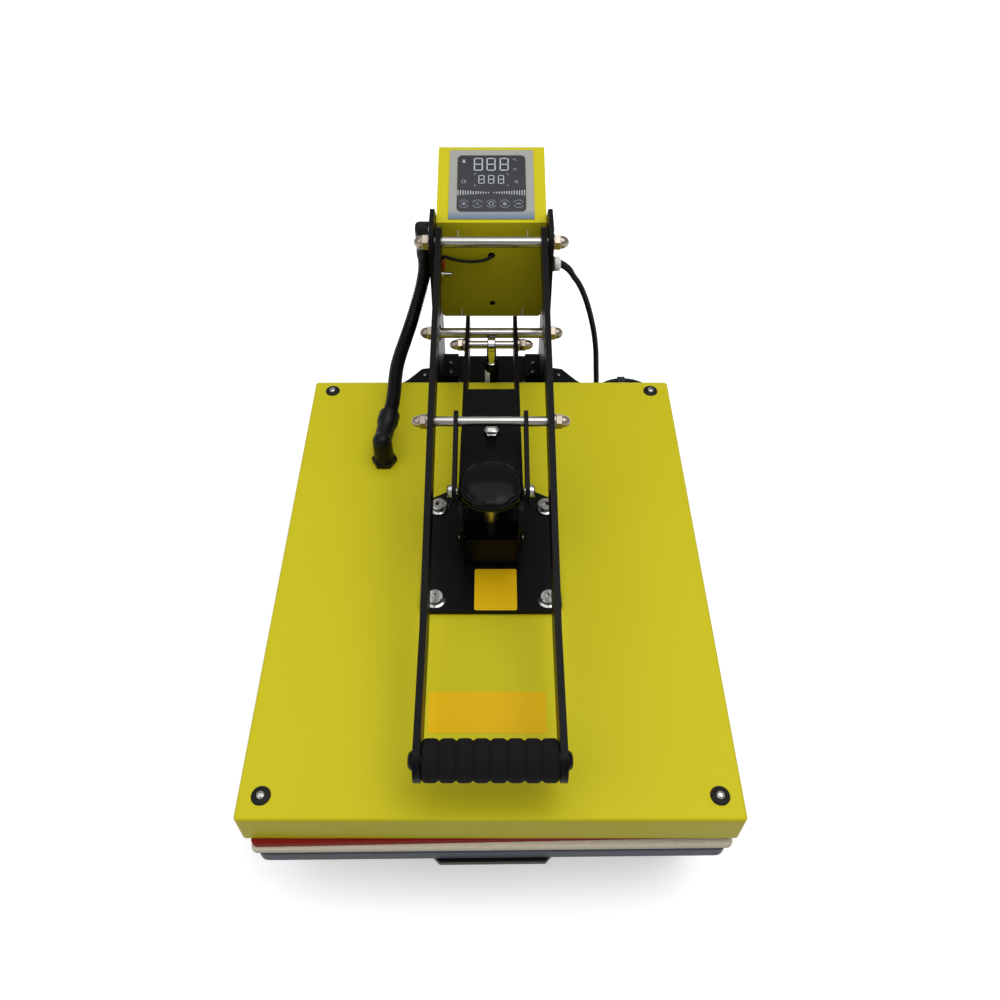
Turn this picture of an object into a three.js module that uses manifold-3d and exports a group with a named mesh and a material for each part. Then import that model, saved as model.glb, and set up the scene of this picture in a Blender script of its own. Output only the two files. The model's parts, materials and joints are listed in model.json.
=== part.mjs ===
// A slide-out heat press: a clamshell upper platen on a toggle arm over a drawer
// that carries the lower platen. Millimetres, +Z up, the operator at -Y.
// The origin is on the floor, under the middle of the press without its mains lead.
//
// Places along Y are first laid out from the front edge of the upper platen, and
// places called a rise are heights above the top face of the upper platen.

import * as THREE from 'three';
import { mergeVertices } from 'three/addons/utils/BufferGeometryUtils.js';
import Module from 'manifold-3d';

const wasm = await Module();
wasm.setup();

// Fits shared by all pieces
const seat = 0.3;
const runningGap = 0.4;
const overrun = 5;

// Feet, rails and plates of the base
const footHeight = 28;
const footRadius = 22;
const footTopRadius = 19;
const footInset = 34;
const baseInset = 20;
const railSetback = 24;
const railWidth = 25;
const railHeight = 60;
const railWall = 2.5;
const railOverhang = 12;
const crossbarHeight = 9;
const crossbarDepth = 40;
const crossbarSetback = 70;
const basePlateThickness = 4;
const basePlateLap = 52;
const wingTaper = 69;
const wingWidth = 220;
const wingNarrowing = 21;
const wingEndWidth = 186;
const wingCorner = 10;
const wingCornerRun = 2;
const tailWidth = 132;
const tailWall = 4;
const tailLap = 60;
const strutSlotWidth = 32;
const strutSlotLength = 46;

// Drawer: slides, tray, pads and pull
const slideHeight = 45;
const slideDepth = 11;
const slideSheet = 1.6;
const slideSetback = 26;
const slideMargin = 48;
const slideDrop = 5;
const runnerBar = 6;
const runnerWeb = 3;
const runnerFlange = 16;
const trayLift = 0.8;
const trayInset = 8;
const trayMargin = 10;
const trayHeight = 13.6;
const trayWall = 2.5;
const trayCorner = 9;
const trayProud = 5.5;
const feltInset = 4.5;
const feltMargin = 9;
const feltThickness = 8;
const feltProud = 4.6;
const siliconeInset = 5.5;
const siliconeMargin = 14;
const siliconeThickness = 8;
const siliconeProud = 2.4;
const padCorner = 5;
const padGap = 0.3;
const drawerSkew = THREE.MathUtils.degToRad(0.6);
const skewCentre = 150;
const pullWidth = 114;
const pullDepth = 46;
const pullThickness = 8;
const pullProud = 3;
const pullChamfer = 11;

// Upper platen: cover, heater, insulation and mounting plate
const coverWidth = 420;
const coverDepth = 520;
const coverHeight = 40;
const coverWall = 2;
const coverCorner = 7;
const coverEdge = 3;
const heaterInset = 1.5;
const heaterThickness = 12;
const heaterProud = 1.1;
const mountWidth = 136;
const mountThickness = 6;
const mountFrontLength = 65.3;
const mountRearLength = 86;
const mountChamferWidth = 24;
const mountChamferLength = 13;
const mountCorner = 6;
const mountTaper = 3;

// Pressure bracket, its pin, the screw and the knob
const bracketDepth = 24;
const bracketHeight = 40;
const bracketWall = 4;
const bracketPinRise = 36;
const bracketPinRadius = 4;
const pressureTravel = 8;
const screwRadius = 6;
const ferruleRise = 65;
const ferruleHeight = 23;
const ferruleRadius = 8.2;
const ferruleFootRadius = 6.4;
const knobRadius = 30;
const knobRise = 108.5;
const knobRim = 9;
const knobDome = 4.5;
const knobLobes = 12;
const scallopDepth = 1.4;

// Uprights and the rods that cross them
const uprightSetback = 20;
const uprightGap = 125;
const uprightThickness = 5;
const uprightDepth = 108;
const uprightTop = 54;
const uprightLobe = 27;
const uprightShoulderRise = 134;
const uprightFlange = 18;
const uprightFlangeStart = 62;
const uprightFlangeLength = 44;
const handlePivotInset = 30;
const handlePivotRise = 163;
const armPivotInset = 16;
const armPivotRise = 45;
const rodRadius = 6;
const pivotRodOverhang = 18;
const pinRadius = 4.5;

// Toggle arm under the handle
const armGap = 51;
const armSheet = 4.5;
const armHalfHeight = 20;
const armNoseOffset = 4;
const armNoseRise = 78;
const legHalfWidth = 12;
const legFootDrop = 8;
const lugRadius = 8;
const linkPinOffset = 5;
const linkPinRise = 99.5;
const strutPinInset = 18;
const strutPinRise = 56;
const strutPinOverhang = 20;
const capThickness = 4;
const capLength = 90;
const tongueLength = 14;
const capNotch = 26;
const capNotchWidth = 9;
const webThickness = 5;
const webLap = 30;
const webReachLength = 163;

// Links and handle
const linkGap = 64;
const linkSheet = 4;
const linkHalfWidth = 11;
const linkRodOffset = 81;
const linkRodRise = 114.5;
const linkRodRadius = 5;
const linkRodOverhang = 15;
const linkPinHead = 4.5;
const linkPinRadius = 4;
const handleGap = 109.5;
const handleSheet = 6;
const handleHalfWidth = 17;
const kneeOffset = 138;
const kneeRise = 58;
const gripOffset = 27.2;
const gripRise = 52;
const gripRadius = 17;
const gripGroove = 1.6;
const gripRidges = 8;
const gripTubeRadius = 11;
const gripTubeWall = 1.5;

// Gas strut between the arm and the base
const strutAnchorInset = 22;
const strutAnchorHeight = 47;
const strutEyeRadius = 8;
const strutEyeWidth = 9;
const strutNeckRadius = 5.5;
const strutNeckLength = 25;
const strutBodyRadius = 8;
const strutBodyLength = 104;
const strutBoreRadius = 5;
const strutBoreDepth = 84;
const strutRodRadius = 4;
const strutRodInside = 60;
const anchorEyeRadius = 9;
const anchorPinRadius = 3.5;
const anchorPlay = 2.2;
const anchorCheek = 3;
const anchorBase = 3;
const anchorDepth = 26;

// Control box between the uprights
const boxWidth = 124;
const boxSetback = 29;
const boxRise = 169;
const boxTilt = THREE.MathUtils.degToRad(15.4);
const boxTopLength = 113;
const boxLean = THREE.MathUtils.degToRad(6.6);
const boxFrontLength = 148;
const boxWall = 2;
const boxChamfer = 4;
const backThickness = 2;
const panelWidth = 97;
const panelLength = 104;
const panelSetback = 4.5;
const panelThickness = 0.9;
const displayWidth = 78.5;
const displayLength = 85;
const displaySetback = 15;
const displayCorner = 6;
const boardThickness = 1.6;
const boardWidth = 96;
const boardLength = 88;
const boardSetback = 12;
const partsHeight = 16;
const partsWidth = 40;
const partsLength = 34;

// Rocker switch in the back of the box
const switchSide = 26;
const switchRise = 62;
const switchWidth = 20;
const switchHeight = 27;
const switchLip = 1.8;
const switchRim = 2;
const switchFrameWall = 1.6;
const switchFrameDepth = 12;
const rockerRadius = 10.6;
const rockerThickness = 5;
const rockerWedge = THREE.MathUtils.degToRad(8);

// Fittings of the ribbed conduit and the gland of the mains lead
const fittingInset = 78;
const upperFittingRise = 147.6;
const upperFittingReach = 11.6;
const upperFittingDrop = 38;
const fittingRadius = 8.8;
const stubRadius = 8;
const stubLength = 12;
const lowerFittingSide = 117.5;
const lowerFittingPlace = 392;
const lowerFittingNutRadius = 14;
const lowerFittingNut = 6;
const lowerFittingRise = 31;
const lowerFittingBody = 10.5;
const lowerFittingRun = 42.4;
const lowerFittingCollar = 11.5;
const lowerFittingCollarLength = 15;
const glandRise = 99.4;
const glandRadius = 9;
const glandFlange = 7.2;
const glandCollar = 6.8;
const bootRadius = 5.5;
const bootTipRadius = 4.2;
const bootBend = 30;
const bootStartAngle = THREE.MathUtils.degToRad(25);
const bootEndAngle = THREE.MathUtils.degToRad(60);

// Ribbed conduit
const conduitRadius = 7.9;
const conduitRoot = 6.9;
const conduitBore = 5.4;
const conduitPitch = 3;

// Mains lead, its coil and its plug
const cordRadius = 3.5;
const coilInnerRadius = 31;
const coilPitch = 7.6;
const coilTurns = 4.5;
const coilLayer = 7.6;
const coilLeadIn = 8;
const coilLeadOut = 34;
const coilSide = 186.1;
const coilPlace = 640;
const plugRadius = 10.8;
const plugNeckRadius = 5;
const plugNeckLength = 16;
const plugBodyLength = 30;
const plugPinRadius = 2.4;
const plugPinLength = 18;
const plugPinSpread = 5.5;

// Facets of round pieces
const roundSides = 24;
const smallSides = 16;
const cordSides = 8;
const hoseSides = 8;
const coilSides = 6;
const coilSteps = 24;
const boreEvery = 5;
const bootSteps = 6;
const cornerSteps = 4;

// Widths and depths that follow the upper platen
const baseWidth = coverWidth - 2 * baseInset;
const trayWidth = coverWidth - 2 * trayInset;
const feltWidth = coverWidth - 2 * feltInset;
const siliconeWidth = coverWidth - 2 * siliconeInset;
const trayDepth = coverDepth - trayMargin;
const feltDepth = coverDepth - feltMargin;
const siliconeDepth = coverDepth - siliconeMargin;
const slideLength = coverDepth - slideSetback - slideMargin;

// Heights worked out from the floor upwards
const railBottom = footHeight + seat;
const railTop = railBottom + railHeight;
const basePlateBottom = railTop + seat;
const baseTop = basePlateBottom + basePlateThickness;
const trayBottom = baseTop + trayLift;
const feltBottom = trayBottom + trayHeight + seat;
const siliconeBottom = feltBottom + feltThickness + seat;
const heaterBottom = siliconeBottom + siliconeThickness + padGap;
const coverBottom = heaterBottom + heaterProud;
const coverTop = coverBottom + coverHeight;

// Places worked out from the front edge of the upper platen
const screwPlace = coverDepth / 2;
const uprightFront = coverDepth + uprightSetback;
const handlePivotPlace = uprightFront + handlePivotInset;
const armPivotPlace = uprightFront + armPivotInset;
const strutAnchorPlace = uprightFront + strutAnchorInset;
const strutPinPlace = uprightFront - strutPinInset;
const linkRodPlace = screwPlace + linkRodOffset;
const linkPinPlace = screwPlace + linkPinOffset;
const boxFront = handlePivotPlace + boxSetback;
const boxRear = boxFront + boxTopLength * Math.cos(boxTilt);
const uprightRear = uprightFront + uprightDepth;
const railEnd = coverDepth + railOverhang;

const uprightInner = uprightGap / 2;
const uprightOuter = uprightInner + uprightThickness;
const armInner = armGap / 2;
const armOuter = armInner + armSheet;
const linkInner = linkGap / 2;
const linkOuter = linkInner + linkSheet;
const handleInner = handleGap / 2;
const handleOuter = handleInner + handleSheet;

const handlePivot = [handlePivotPlace, coverTop + handlePivotRise];
const armPivot = [armPivotPlace, coverTop + armPivotRise];
const linkRod = [linkRodPlace, coverTop + linkRodRise];
const linkPin = [linkPinPlace, coverTop + linkPinRise];
const strutPin = [strutPinPlace, coverTop + strutPinRise];
const strutAnchor = [strutAnchorPlace, strutAnchorHeight];
const bracketPin = [screwPlace, coverTop + bracketPinRise];
const grip = [gripOffset, coverTop + gripRise];
const knee = [kneeOffset, coverTop + kneeRise];
const armNose = [screwPlace - armNoseOffset, coverTop + armNoseRise];

// Ends of the conduit and of the mains lead, in the fittings, the gland and the coil
const uprightFace = uprightOuter + seat;
const fittingPlace = uprightFront + fittingInset;
const upperFitting = [-uprightFace - upperFittingReach, fittingPlace,
  coverTop + upperFittingRise - upperFittingDrop];
const lowerFitting = [-lowerFittingSide, lowerFittingPlace, coverTop + lowerFittingRise];
const bootRun = bootBend * (Math.sin(bootEndAngle) - Math.sin(bootStartAngle));
const bootFall = bootBend * (Math.cos(bootStartAngle) - Math.cos(bootEndAngle));
const bootStart = uprightFace + glandFlange + glandCollar;
const glandTip = [bootStart + bootRun, fittingPlace, coverTop + glandRise - bootFall];
const coilStart = [coilSide - coilInnerRadius - coilPitch * coilTurns / 2,
  coilPlace - coilLeadIn, cordRadius + seat];

// Hand-laid routes: each point is its distance from the end that it belongs to
const conduitFromLower = [
  [4.9, 42.5, 0], [5.9, 51.0, 0.2], [6.8, 59.5, 0.5], [7.3, 78.0, 1.2], [7.1, 98.0, 2.0],
  [7.7, 118.0, 2.4],
];
const conduitFromUpper = [
  [-27.9, -86.0, -76.3], [-23.6, -63.0, -74.5], [-17.8, -40.5, -67.6],
  [-9.7, -17.0, -50.5], [-4.6, -6.6, -36.0], [-1.2, -1.4, -22.5], [0, 0, -12.0],
  [0, 0, -6.0], [0, 0, -0.4],
];
const cordFromGland = [
  [0.2, 0, -0.3], [4.5, 0, -7.6], [9.7, -0.3, -15.3], [18.0, -0.6, -33.3],
  [24.9, -1.2, -53.3], [30.9, -2.2, -75.3], [35.5, -3.6, -96.3], [39.1, -5.6, -120.3],
  [41.5, -8.6, -148.3],
];
const cordFromCoil = [
  [0.1, -26.6, 82.2], [0.1, -30.0, 64.0], [0, -32.0, 47.0], [0, -32.2, 34.0], [0, -31.0, 22.2],
  [0, -26.6, 12.8], [0, -19.2, 5.4], [0, -9.8, 1.0], [0, -3.5, 0.1], [0, -0.3, 0],
];
const route = (start, fromStart, fromEnd, end) => [
  ...fromStart.map(offset => offset.map((value, axis) => start[axis] + value)),
  ...fromEnd.map(offset => offset.map((value, axis) => end[axis] + value)),
];
const conduitRoute = route(lowerFitting, conduitFromLower, conduitFromUpper, upperFitting);
const cordRoute = route(glandTip, cordFromGland, cordFromCoil, coilStart);

// Material library: colour, roughness, metalness
const finish = (color, roughness, metalness) =>
  new THREE.MeshStandardMaterial({ color, roughness, metalness });
const yellowPaint = finish(0xc9bd33, 0.45, 0.1);
const blackPaint = finish(0x141416, 0.35, 0.2);
const zinc = finish(0xb9bbbd, 0.3, 0.9);
const chrome = finish(0xd6d8da, 0.12, 1);
const castAluminium = finish(0xa9abad, 0.5, 0.8);
const trayPaint = finish(0x6f7f95, 0.5, 0.3);
const blackRubber = finish(0x17171a, 0.85, 0);
const blackFoam = finish(0x1b1b1d, 0.95, 0);
const knobPlastic = finish(0x0d0d0f, 0.15, 0);
const redSilicone = finish(0xb2382c, 0.6, 0);
const creamFelt = finish(0xe6e1d2, 0.95, 0);
const greyPanel = finish(0x8d9298, 0.4, 0);
const displayBlack = finish(0x0a0c12, 0.1, 0);
const boardGreen = finish(0x1e5a38, 0.6, 0);
const fibre = finish(0xd9d2bb, 0.95, 0);
const whitePlastic = finish(0xe8e8e4, 0.4, 0);

// Geometry helpers

function toSolid(geometry) {
  const bare = geometry.clone();
  bare.deleteAttribute('normal');
  bare.deleteAttribute('uv');
  const merged = mergeVertices(bare);
  return new wasm.Manifold(new wasm.Mesh({
    numProp: 3,
    vertProperties: new Float32Array(merged.attributes.position.array),
    triVerts: new Uint32Array(merged.index.array),
  }));
}

function toGeometry(solid) {
  const mesh = solid.getMesh();
  const geometry = new THREE.BufferGeometry();
  geometry.setAttribute('position', new THREE.Float32BufferAttribute(mesh.vertProperties, 3));
  geometry.setIndex(Array.from(mesh.triVerts));
  geometry.computeVertexNormals();
  return geometry;
}

function join(first, ...others) {
  return toGeometry(others.reduce((sum, next) => sum.add(toSolid(next)), toSolid(first)));
}

function cut(body, ...tools) {
  return toGeometry(tools.reduce((rest, tool) => rest.subtract(toSolid(tool)), toSolid(body)));
}

// A side view, drawn in Y and Z, extruded along X
function sidePlate(shape, from, to) {
  const geometry = new THREE.ExtrudeGeometry(shape, {
    depth: to - from, bevelEnabled: false, curveSegments: smallSides,
  });
  const turn = new THREE.Matrix4().makeBasis(
    new THREE.Vector3(0, 1, 0), new THREE.Vector3(0, 0, 1), new THREE.Vector3(1, 0, 0));
  return geometry.applyMatrix4(turn).translate(from, 0, 0);
}

// A front view, drawn in X and Z, extruded along Y
function frontBar(shape, from, to) {
  const geometry = new THREE.ExtrudeGeometry(shape, { depth: to - from, bevelEnabled: false });
  return geometry.rotateX(Math.PI / 2).translate(0, to, 0);
}

// A plan, drawn in X and Y, extruded upwards
function slab(shape, bottom, top) {
  const geometry = new THREE.ExtrudeGeometry(shape, {
    depth: top - bottom, bevelEnabled: false, curveSegments: cornerSteps,
  });
  return geometry.translate(0, 0, bottom);
}

function box(x0, x1, y0, y1, z0, z1) {
  return new THREE.BoxGeometry(x1 - x0, y1 - y0, z1 - z0)
    .translate((x0 + x1) / 2, (y0 + y1) / 2, (z0 + z1) / 2);
}

function barAlongX(radius, from, to, place, sides = roundSides) {
  return new THREE.CylinderGeometry(radius, radius, to - from, sides)
    .rotateZ(-Math.PI / 2).translate((from + to) / 2, place[0], place[1]);
}

function barAlongY(radius, from, to, x, z, sides = smallSides) {
  return new THREE.CylinderGeometry(radius, radius, to - from, sides)
    .translate(x, (from + to) / 2, z);
}

function barAlongZ(radius, from, to, x, y, sides = roundSides) {
  return new THREE.CylinderGeometry(radius, radius, to - from, sides)
    .rotateX(Math.PI / 2).translate(x, y, (from + to) / 2);
}

// A turned piece: pairs of radius and height, on the Z axis
function turned(profile, sides = roundSides) {
  const points = profile.map(([radius, height]) => new THREE.Vector2(radius, height));
  return new THREE.LatheGeometry(points, sides).rotateX(Math.PI / 2);
}

function outline(points, holes = []) {
  const shape = new THREE.Shape(points.map(([u, v]) => new THREE.Vector2(u, v)));
  for (const hole of holes) {
    shape.holes.push(new THREE.Path(hole.map(([u, v]) => new THREE.Vector2(u, v))));
  }
  return shape;
}

function rectangle(u0, u1, v0, v1) {
  return [[u0, v0], [u1, v0], [u1, v1], [u0, v1]];
}

function roundedRectangle(u0, u1, v0, v1, radius) {
  const shape = new THREE.Shape();
  const quarter = Math.PI / 2;
  shape.absarc(u1 - radius, v1 - radius, radius, 0, quarter);
  shape.absarc(u0 + radius, v1 - radius, radius, quarter, 2 * quarter);
  shape.absarc(u0 + radius, v0 + radius, radius, 2 * quarter, 3 * quarter);
  shape.absarc(u1 - radius, v0 + radius, radius, 3 * quarter, 4 * quarter);
  return shape;
}

// A flat bar with round ends that follows a bent centre line
function bentBar(line, halfWidth) {
  const points = line.map(([u, v]) => new THREE.Vector2(u, v));
  const runs = points.slice(1).map((point, i) => point.clone().sub(points[i]).normalize());
  const side = run => new THREE.Vector2(-run.y, run.x);
  const edge = sign => {
    const found = [];
    for (let i = 1; i < points.length - 1; i += 1) {
      const before = side(runs[i - 1]);
      const mean = before.clone().add(side(runs[i])).normalize();
      const reach = sign * halfWidth / mean.dot(before);
      found.push(points[i].clone().addScaledVector(mean, reach));
    }
    return found;
  };
  const shape = new THREE.Shape();
  const last = points.length - 1;
  const startAngle = Math.atan2(side(runs[0]).y, side(runs[0]).x);
  const endAngle = Math.atan2(side(runs[last - 1]).y, side(runs[last - 1]).x);
  shape.absarc(points[0].x, points[0].y, halfWidth, startAngle, startAngle + Math.PI);
  edge(-1).forEach(point => shape.lineTo(point.x, point.y));
  shape.absarc(points[last].x, points[last].y, halfWidth, endAngle - Math.PI, endAngle);
  edge(1).reverse().forEach(point => shape.lineTo(point.x, point.y));
  return shape;
}

// Rings of points joined into one tube; a bore makes it a hose
function ringTube(rings, bores) {
  const positions = [];
  const triangles = [];
  const addRing = ring => {
    const start = positions.length / 3;
    ring.forEach(point => positions.push(point.x, point.y, point.z));
    return start;
  };
  const bridge = (a, b, sides, outward) => {
    for (let i = 0; i < sides; i += 1) {
      const j = (i + 1) % sides;
      const [p, q, r, s] = [a + i, a + j, b + j, b + i];
      triangles.push(...(outward ? [p, q, r, p, r, s] : [p, r, q, p, s, r]));
    }
  };
  const sides = rings[0].length;
  const outer = rings.map(addRing);
  for (let i = 1; i < outer.length; i += 1) {
    bridge(outer[i - 1], outer[i], sides, true);
  }
  const first = outer[0];
  const last = outer[outer.length - 1];
  if (bores) {
    const inner = bores.map(addRing);
    for (let i = 1; i < inner.length; i += 1) {
      bridge(inner[i - 1], inner[i], sides, false);
    }
    bridge(first, inner[0], sides, false);
    bridge(last, inner[inner.length - 1], sides, true);
  } else {
    for (let i = 1; i < sides - 1; i += 1) {
      triangles.push(first, first + i + 1, first + i);
      triangles.push(last, last + i, last + i + 1);
    }
  }
  const geometry = new THREE.BufferGeometry();
  geometry.setAttribute('position', new THREE.Float32BufferAttribute(positions, 3));
  geometry.setIndex(triangles);
  geometry.computeVertexNormals();
  return geometry;
}

// A ring square to a direction, with its first point on the side of a guide
function ringAt(centre, along, guide, radius, sides) {
  const across = guide.clone().addScaledVector(along, -guide.dot(along)).normalize();
  const third = new THREE.Vector3().crossVectors(along, across);
  return Array.from({ length: sides }, (_, i) => {
    const angle = 2 * Math.PI * (i + 0.5) / sides;
    return centre.clone()
      .addScaledVector(across, radius * Math.cos(angle))
      .addScaledVector(third, radius * Math.sin(angle));
  });
}

// Nodes of the press
const press = new THREE.Group();
const layout = new THREE.Group();
press.add(layout);

function addNode(name, geometry, material, carrier = layout) {
  const mesh = new THREE.Mesh(geometry, material);
  mesh.name = name;
  carrier.add(mesh);
  return mesh;
}

const sideNames = [['left', -1], ['right', 1]];

// The same piece on both sides of the press, drawn for the right side
function addPair(name, right, material, carrier = layout) {
  addNode(`${name}_right`, right, material, carrier);
  addNode(`${name}_left`, toGeometry(toSolid(right).mirror([1, 0, 0])), material, carrier);
}

// Base: rubber feet, two side rails, a front crossbar, a tail channel and the rear plate
function addBase() {
  const railOuter = baseWidth / 2;
  const railInner = railOuter - railWidth;
  const section = outline(
    rectangle(railInner, railOuter, railBottom, railTop),
    [rectangle(railInner + railWall, railOuter - railWall,
      railBottom + railWall, railTop - railWall)]);
  addPair('base_rail', frontBar(section, railSetback, railEnd), blackPaint);

  const crossbarHalf = railInner - seat;
  addNode('base_crossbar', box(-crossbarHalf, crossbarHalf, crossbarSetback,
    crossbarSetback + crossbarDepth, railBottom, railBottom + crossbarHeight), blackPaint);

  const tailHalf = tailWidth / 2;
  const tailInner = tailHalf - tailWall;
  const tailSection = outline([
    [-tailHalf, railBottom], [tailHalf, railBottom], [tailHalf, railTop],
    [tailInner, railTop], [tailInner, railBottom + tailWall],
    [-tailInner, railBottom + tailWall], [-tailInner, railTop], [-tailHalf, railTop],
  ]);
  addNode('base_tail', frontBar(tailSection, uprightFront - tailLap, uprightRear), blackPaint);

  const slotHalf = strutSlotWidth / 2;
  const wingPlace = railEnd + wingTaper;
  const wingEnd = wingPlace + wingNarrowing;
  const edge = [
    [railOuter, railEnd - basePlateLap], [railOuter, railEnd], [wingWidth / 2, wingPlace],
    [wingEndWidth / 2, wingEnd], [wingEndWidth / 2 - wingCorner, wingEnd + wingCornerRun],
    [uprightOuter, wingEnd + wingCornerRun], [uprightOuter, uprightRear],
  ];
  const plate = outline([...edge, ...edge.map(([x, y]) => [-x, y]).reverse()],
    [rectangle(-slotHalf, slotHalf, strutAnchorPlace - strutSlotLength / 2,
      strutAnchorPlace + strutSlotLength / 2)]);
  addNode('base_plate', slab(plate, basePlateBottom, baseTop), blackPaint);

  const frontFoot = [railOuter - railWidth / 2, railSetback + footInset];
  const rearFoot = [tailInner - footRadius, uprightRear - footInset];
  for (const [rowName, place] of [['front', frontFoot], ['rear', rearFoot]]) {
    for (const [sideName, sign] of sideNames) {
      const foot = turned([[0, 0], [footRadius, 0], [footTopRadius, footHeight],
        [0, footHeight]]);
      const node = addNode(`foot_${rowName}_${sideName}`, foot, blackRubber);
      node.position.set(sign * place[0], place[1], 0);
    }
  }
}

// Drawer slides: a channel on each rail, and a runner bar with its web up to the tray
function addSlides(drawer) {
  const railInner = baseWidth / 2 - railWidth;
  const top = railTop - slideDrop;
  const bottom = top - slideHeight;
  const outer = railInner - seat;
  const mouth = outer - slideDepth;
  const channel = outline([
    [outer, bottom], [outer, top], [mouth, top], [mouth, top - slideSheet],
    [outer - slideSheet, top - slideSheet], [outer - slideSheet, bottom + slideSheet],
    [mouth, bottom + slideSheet], [mouth, bottom],
  ]);
  const slideEnd = slideSetback + slideLength;
  addPair('slide_channel', frontBar(channel, slideSetback, slideEnd), zinc);

  const barOuter = outer - slideSheet - runningGap;
  const webOuter = Math.min(mouth - runningGap, barOuter - runnerBar);
  const webInner = webOuter - runnerWeb;
  const barTop = top - slideSheet - runningGap;
  const barBottom = bottom + slideSheet + runningGap;
  const flangeTop = trayBottom + trayHeight - trayWall - seat;
  const runner = outline([
    [barOuter, barBottom], [barOuter, barTop], [webOuter, barTop], [webOuter, flangeTop],
    [webOuter - runnerFlange, flangeTop], [webOuter - runnerFlange, flangeTop - runnerWeb],
    [webInner, flangeTop - runnerWeb], [webInner, barBottom],
  ]);
  addPair('slide_runner', frontBar(runner, slideSetback, slideEnd), zinc, drawer);
}

// Drawer: lower platen tray, felt and silicone pads, and the pull under its front edge
function addDrawer() {
  const drawer = new THREE.Group();
  layout.add(drawer);
  addSlides(drawer);

  const skewed = new THREE.Group();
  skewed.position.y = skewCentre;
  skewed.rotation.z = drawerSkew;
  drawer.add(skewed);

  const sheet = (width, depth, proud, corner) => {
    const front = -proud - skewCentre;
    return roundedRectangle(-width / 2, width / 2, front, front + depth, corner);
  };
  const shell = slab(sheet(trayWidth, trayDepth, trayProud, trayCorner),
    trayBottom, trayBottom + trayHeight);
  const hollow = slab(
    sheet(trayWidth - 2 * trayWall, trayDepth - 2 * trayWall, trayProud - trayWall,
      trayCorner - trayWall),
    trayBottom - overrun, trayBottom + trayHeight - trayWall);
  addNode('drawer_tray', cut(shell, hollow), trayPaint, skewed);
  addNode('felt_pad', slab(sheet(feltWidth, feltDepth, feltProud, padCorner),
    feltBottom, feltBottom + feltThickness), creamFelt, skewed);
  addNode('silicone_pad', slab(sheet(siliconeWidth, siliconeDepth, siliconeProud, padCorner),
    siliconeBottom, siliconeBottom + siliconeThickness), redSilicone, skewed);

  const half = pullWidth / 2;
  const front = -trayProud - pullProud - skewCentre;
  const pullTop = trayBottom - seat;
  const pull = outline([
    [-half + pullChamfer, front], [half - pullChamfer, front], [half, front + pullChamfer],
    [half, front + pullDepth], [-half, front + pullDepth], [-half, front + pullChamfer],
  ]);
  addNode('drawer_pull', slab(pull, pullTop - pullThickness, pullTop), blackPaint, skewed);
}

// Upper platen: a folded cover over the cast heater plate and its insulation
function addPlaten() {
  const half = coverWidth / 2;
  const shellShape = roundedRectangle(-half + coverEdge, half - coverEdge, coverEdge,
    coverDepth - coverEdge, coverCorner - coverEdge);
  const rounded = new THREE.ExtrudeGeometry(shellShape, {
    depth: coverHeight, bevelEnabled: true, bevelThickness: coverEdge,
    bevelSize: coverEdge, bevelSegments: 3, curveSegments: cornerSteps,
  }).translate(0, 0, coverBottom - coverEdge);
  const lower = box(-coverWidth, coverWidth, -coverDepth, 2 * coverDepth,
    coverBottom - 2 * coverEdge, coverBottom);
  const hollow = slab(
    roundedRectangle(-half + coverWall, half - coverWall, coverWall, coverDepth - coverWall,
      coverCorner - coverWall),
    coverBottom - overrun, coverTop - coverWall);
  addNode('platen_cover', cut(rounded, lower, hollow), yellowPaint);

  const inset = coverWall + heaterInset;
  const heaterShape = roundedRectangle(-half + inset, half - inset, inset,
    coverDepth - inset, coverCorner - coverWall);
  addNode('heater_plate', slab(heaterShape, heaterBottom, heaterBottom + heaterThickness),
    castAluminium);
  addNode('insulation_sheet', slab(heaterShape, heaterBottom + heaterThickness + seat,
    coverTop - coverWall - seat), fibre);

  const mountHalf = mountWidth / 2;
  const front = screwPlace - mountFrontLength;
  const rear = screwPlace + mountRearLength;
  const plate = outline([
    [-mountHalf + mountCorner, front], [mountHalf - mountCorner, front],
    [mountHalf, front + mountCorner], [mountHalf - mountTaper, rear - mountChamferLength],
    [mountHalf - mountTaper - mountChamferWidth, rear],
    [-mountHalf + mountTaper + mountChamferWidth, rear],
    [-mountHalf + mountTaper, rear - mountChamferLength], [-mountHalf, front + mountCorner],
  ]);
  addNode('mounting_plate', slab(plate, coverTop + seat, coverTop + seat + mountThickness),
    blackPaint);
}

// Pressure bracket: a folded box open at its rear, with the cross pin that the arm carries
function addBracket() {
  const half = armInner - seat;
  const front = screwPlace - bracketDepth / 2;
  const rear = screwPlace + bracketDepth / 2;
  const bottom = coverTop + seat + mountThickness + seat;
  const top = bottom + bracketHeight;
  const shell = box(-half, half, front, rear, bottom, top);
  const hollow = box(-half + bracketWall, half - bracketWall, front + bracketWall,
    rear + overrun, bottom + bracketWall, top - bracketWall);
  const bore = barAlongX(bracketPinRadius + seat, -half - overrun, half + overrun, bracketPin);
  addNode('pressure_bracket', cut(shell, hollow, bore), blackPaint);
  const pinReach = armOuter + seat;
  addNode('bracket_pin', barAlongX(bracketPinRadius, -pinReach, pinReach, bracketPin), zinc);
  return top;
}

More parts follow.
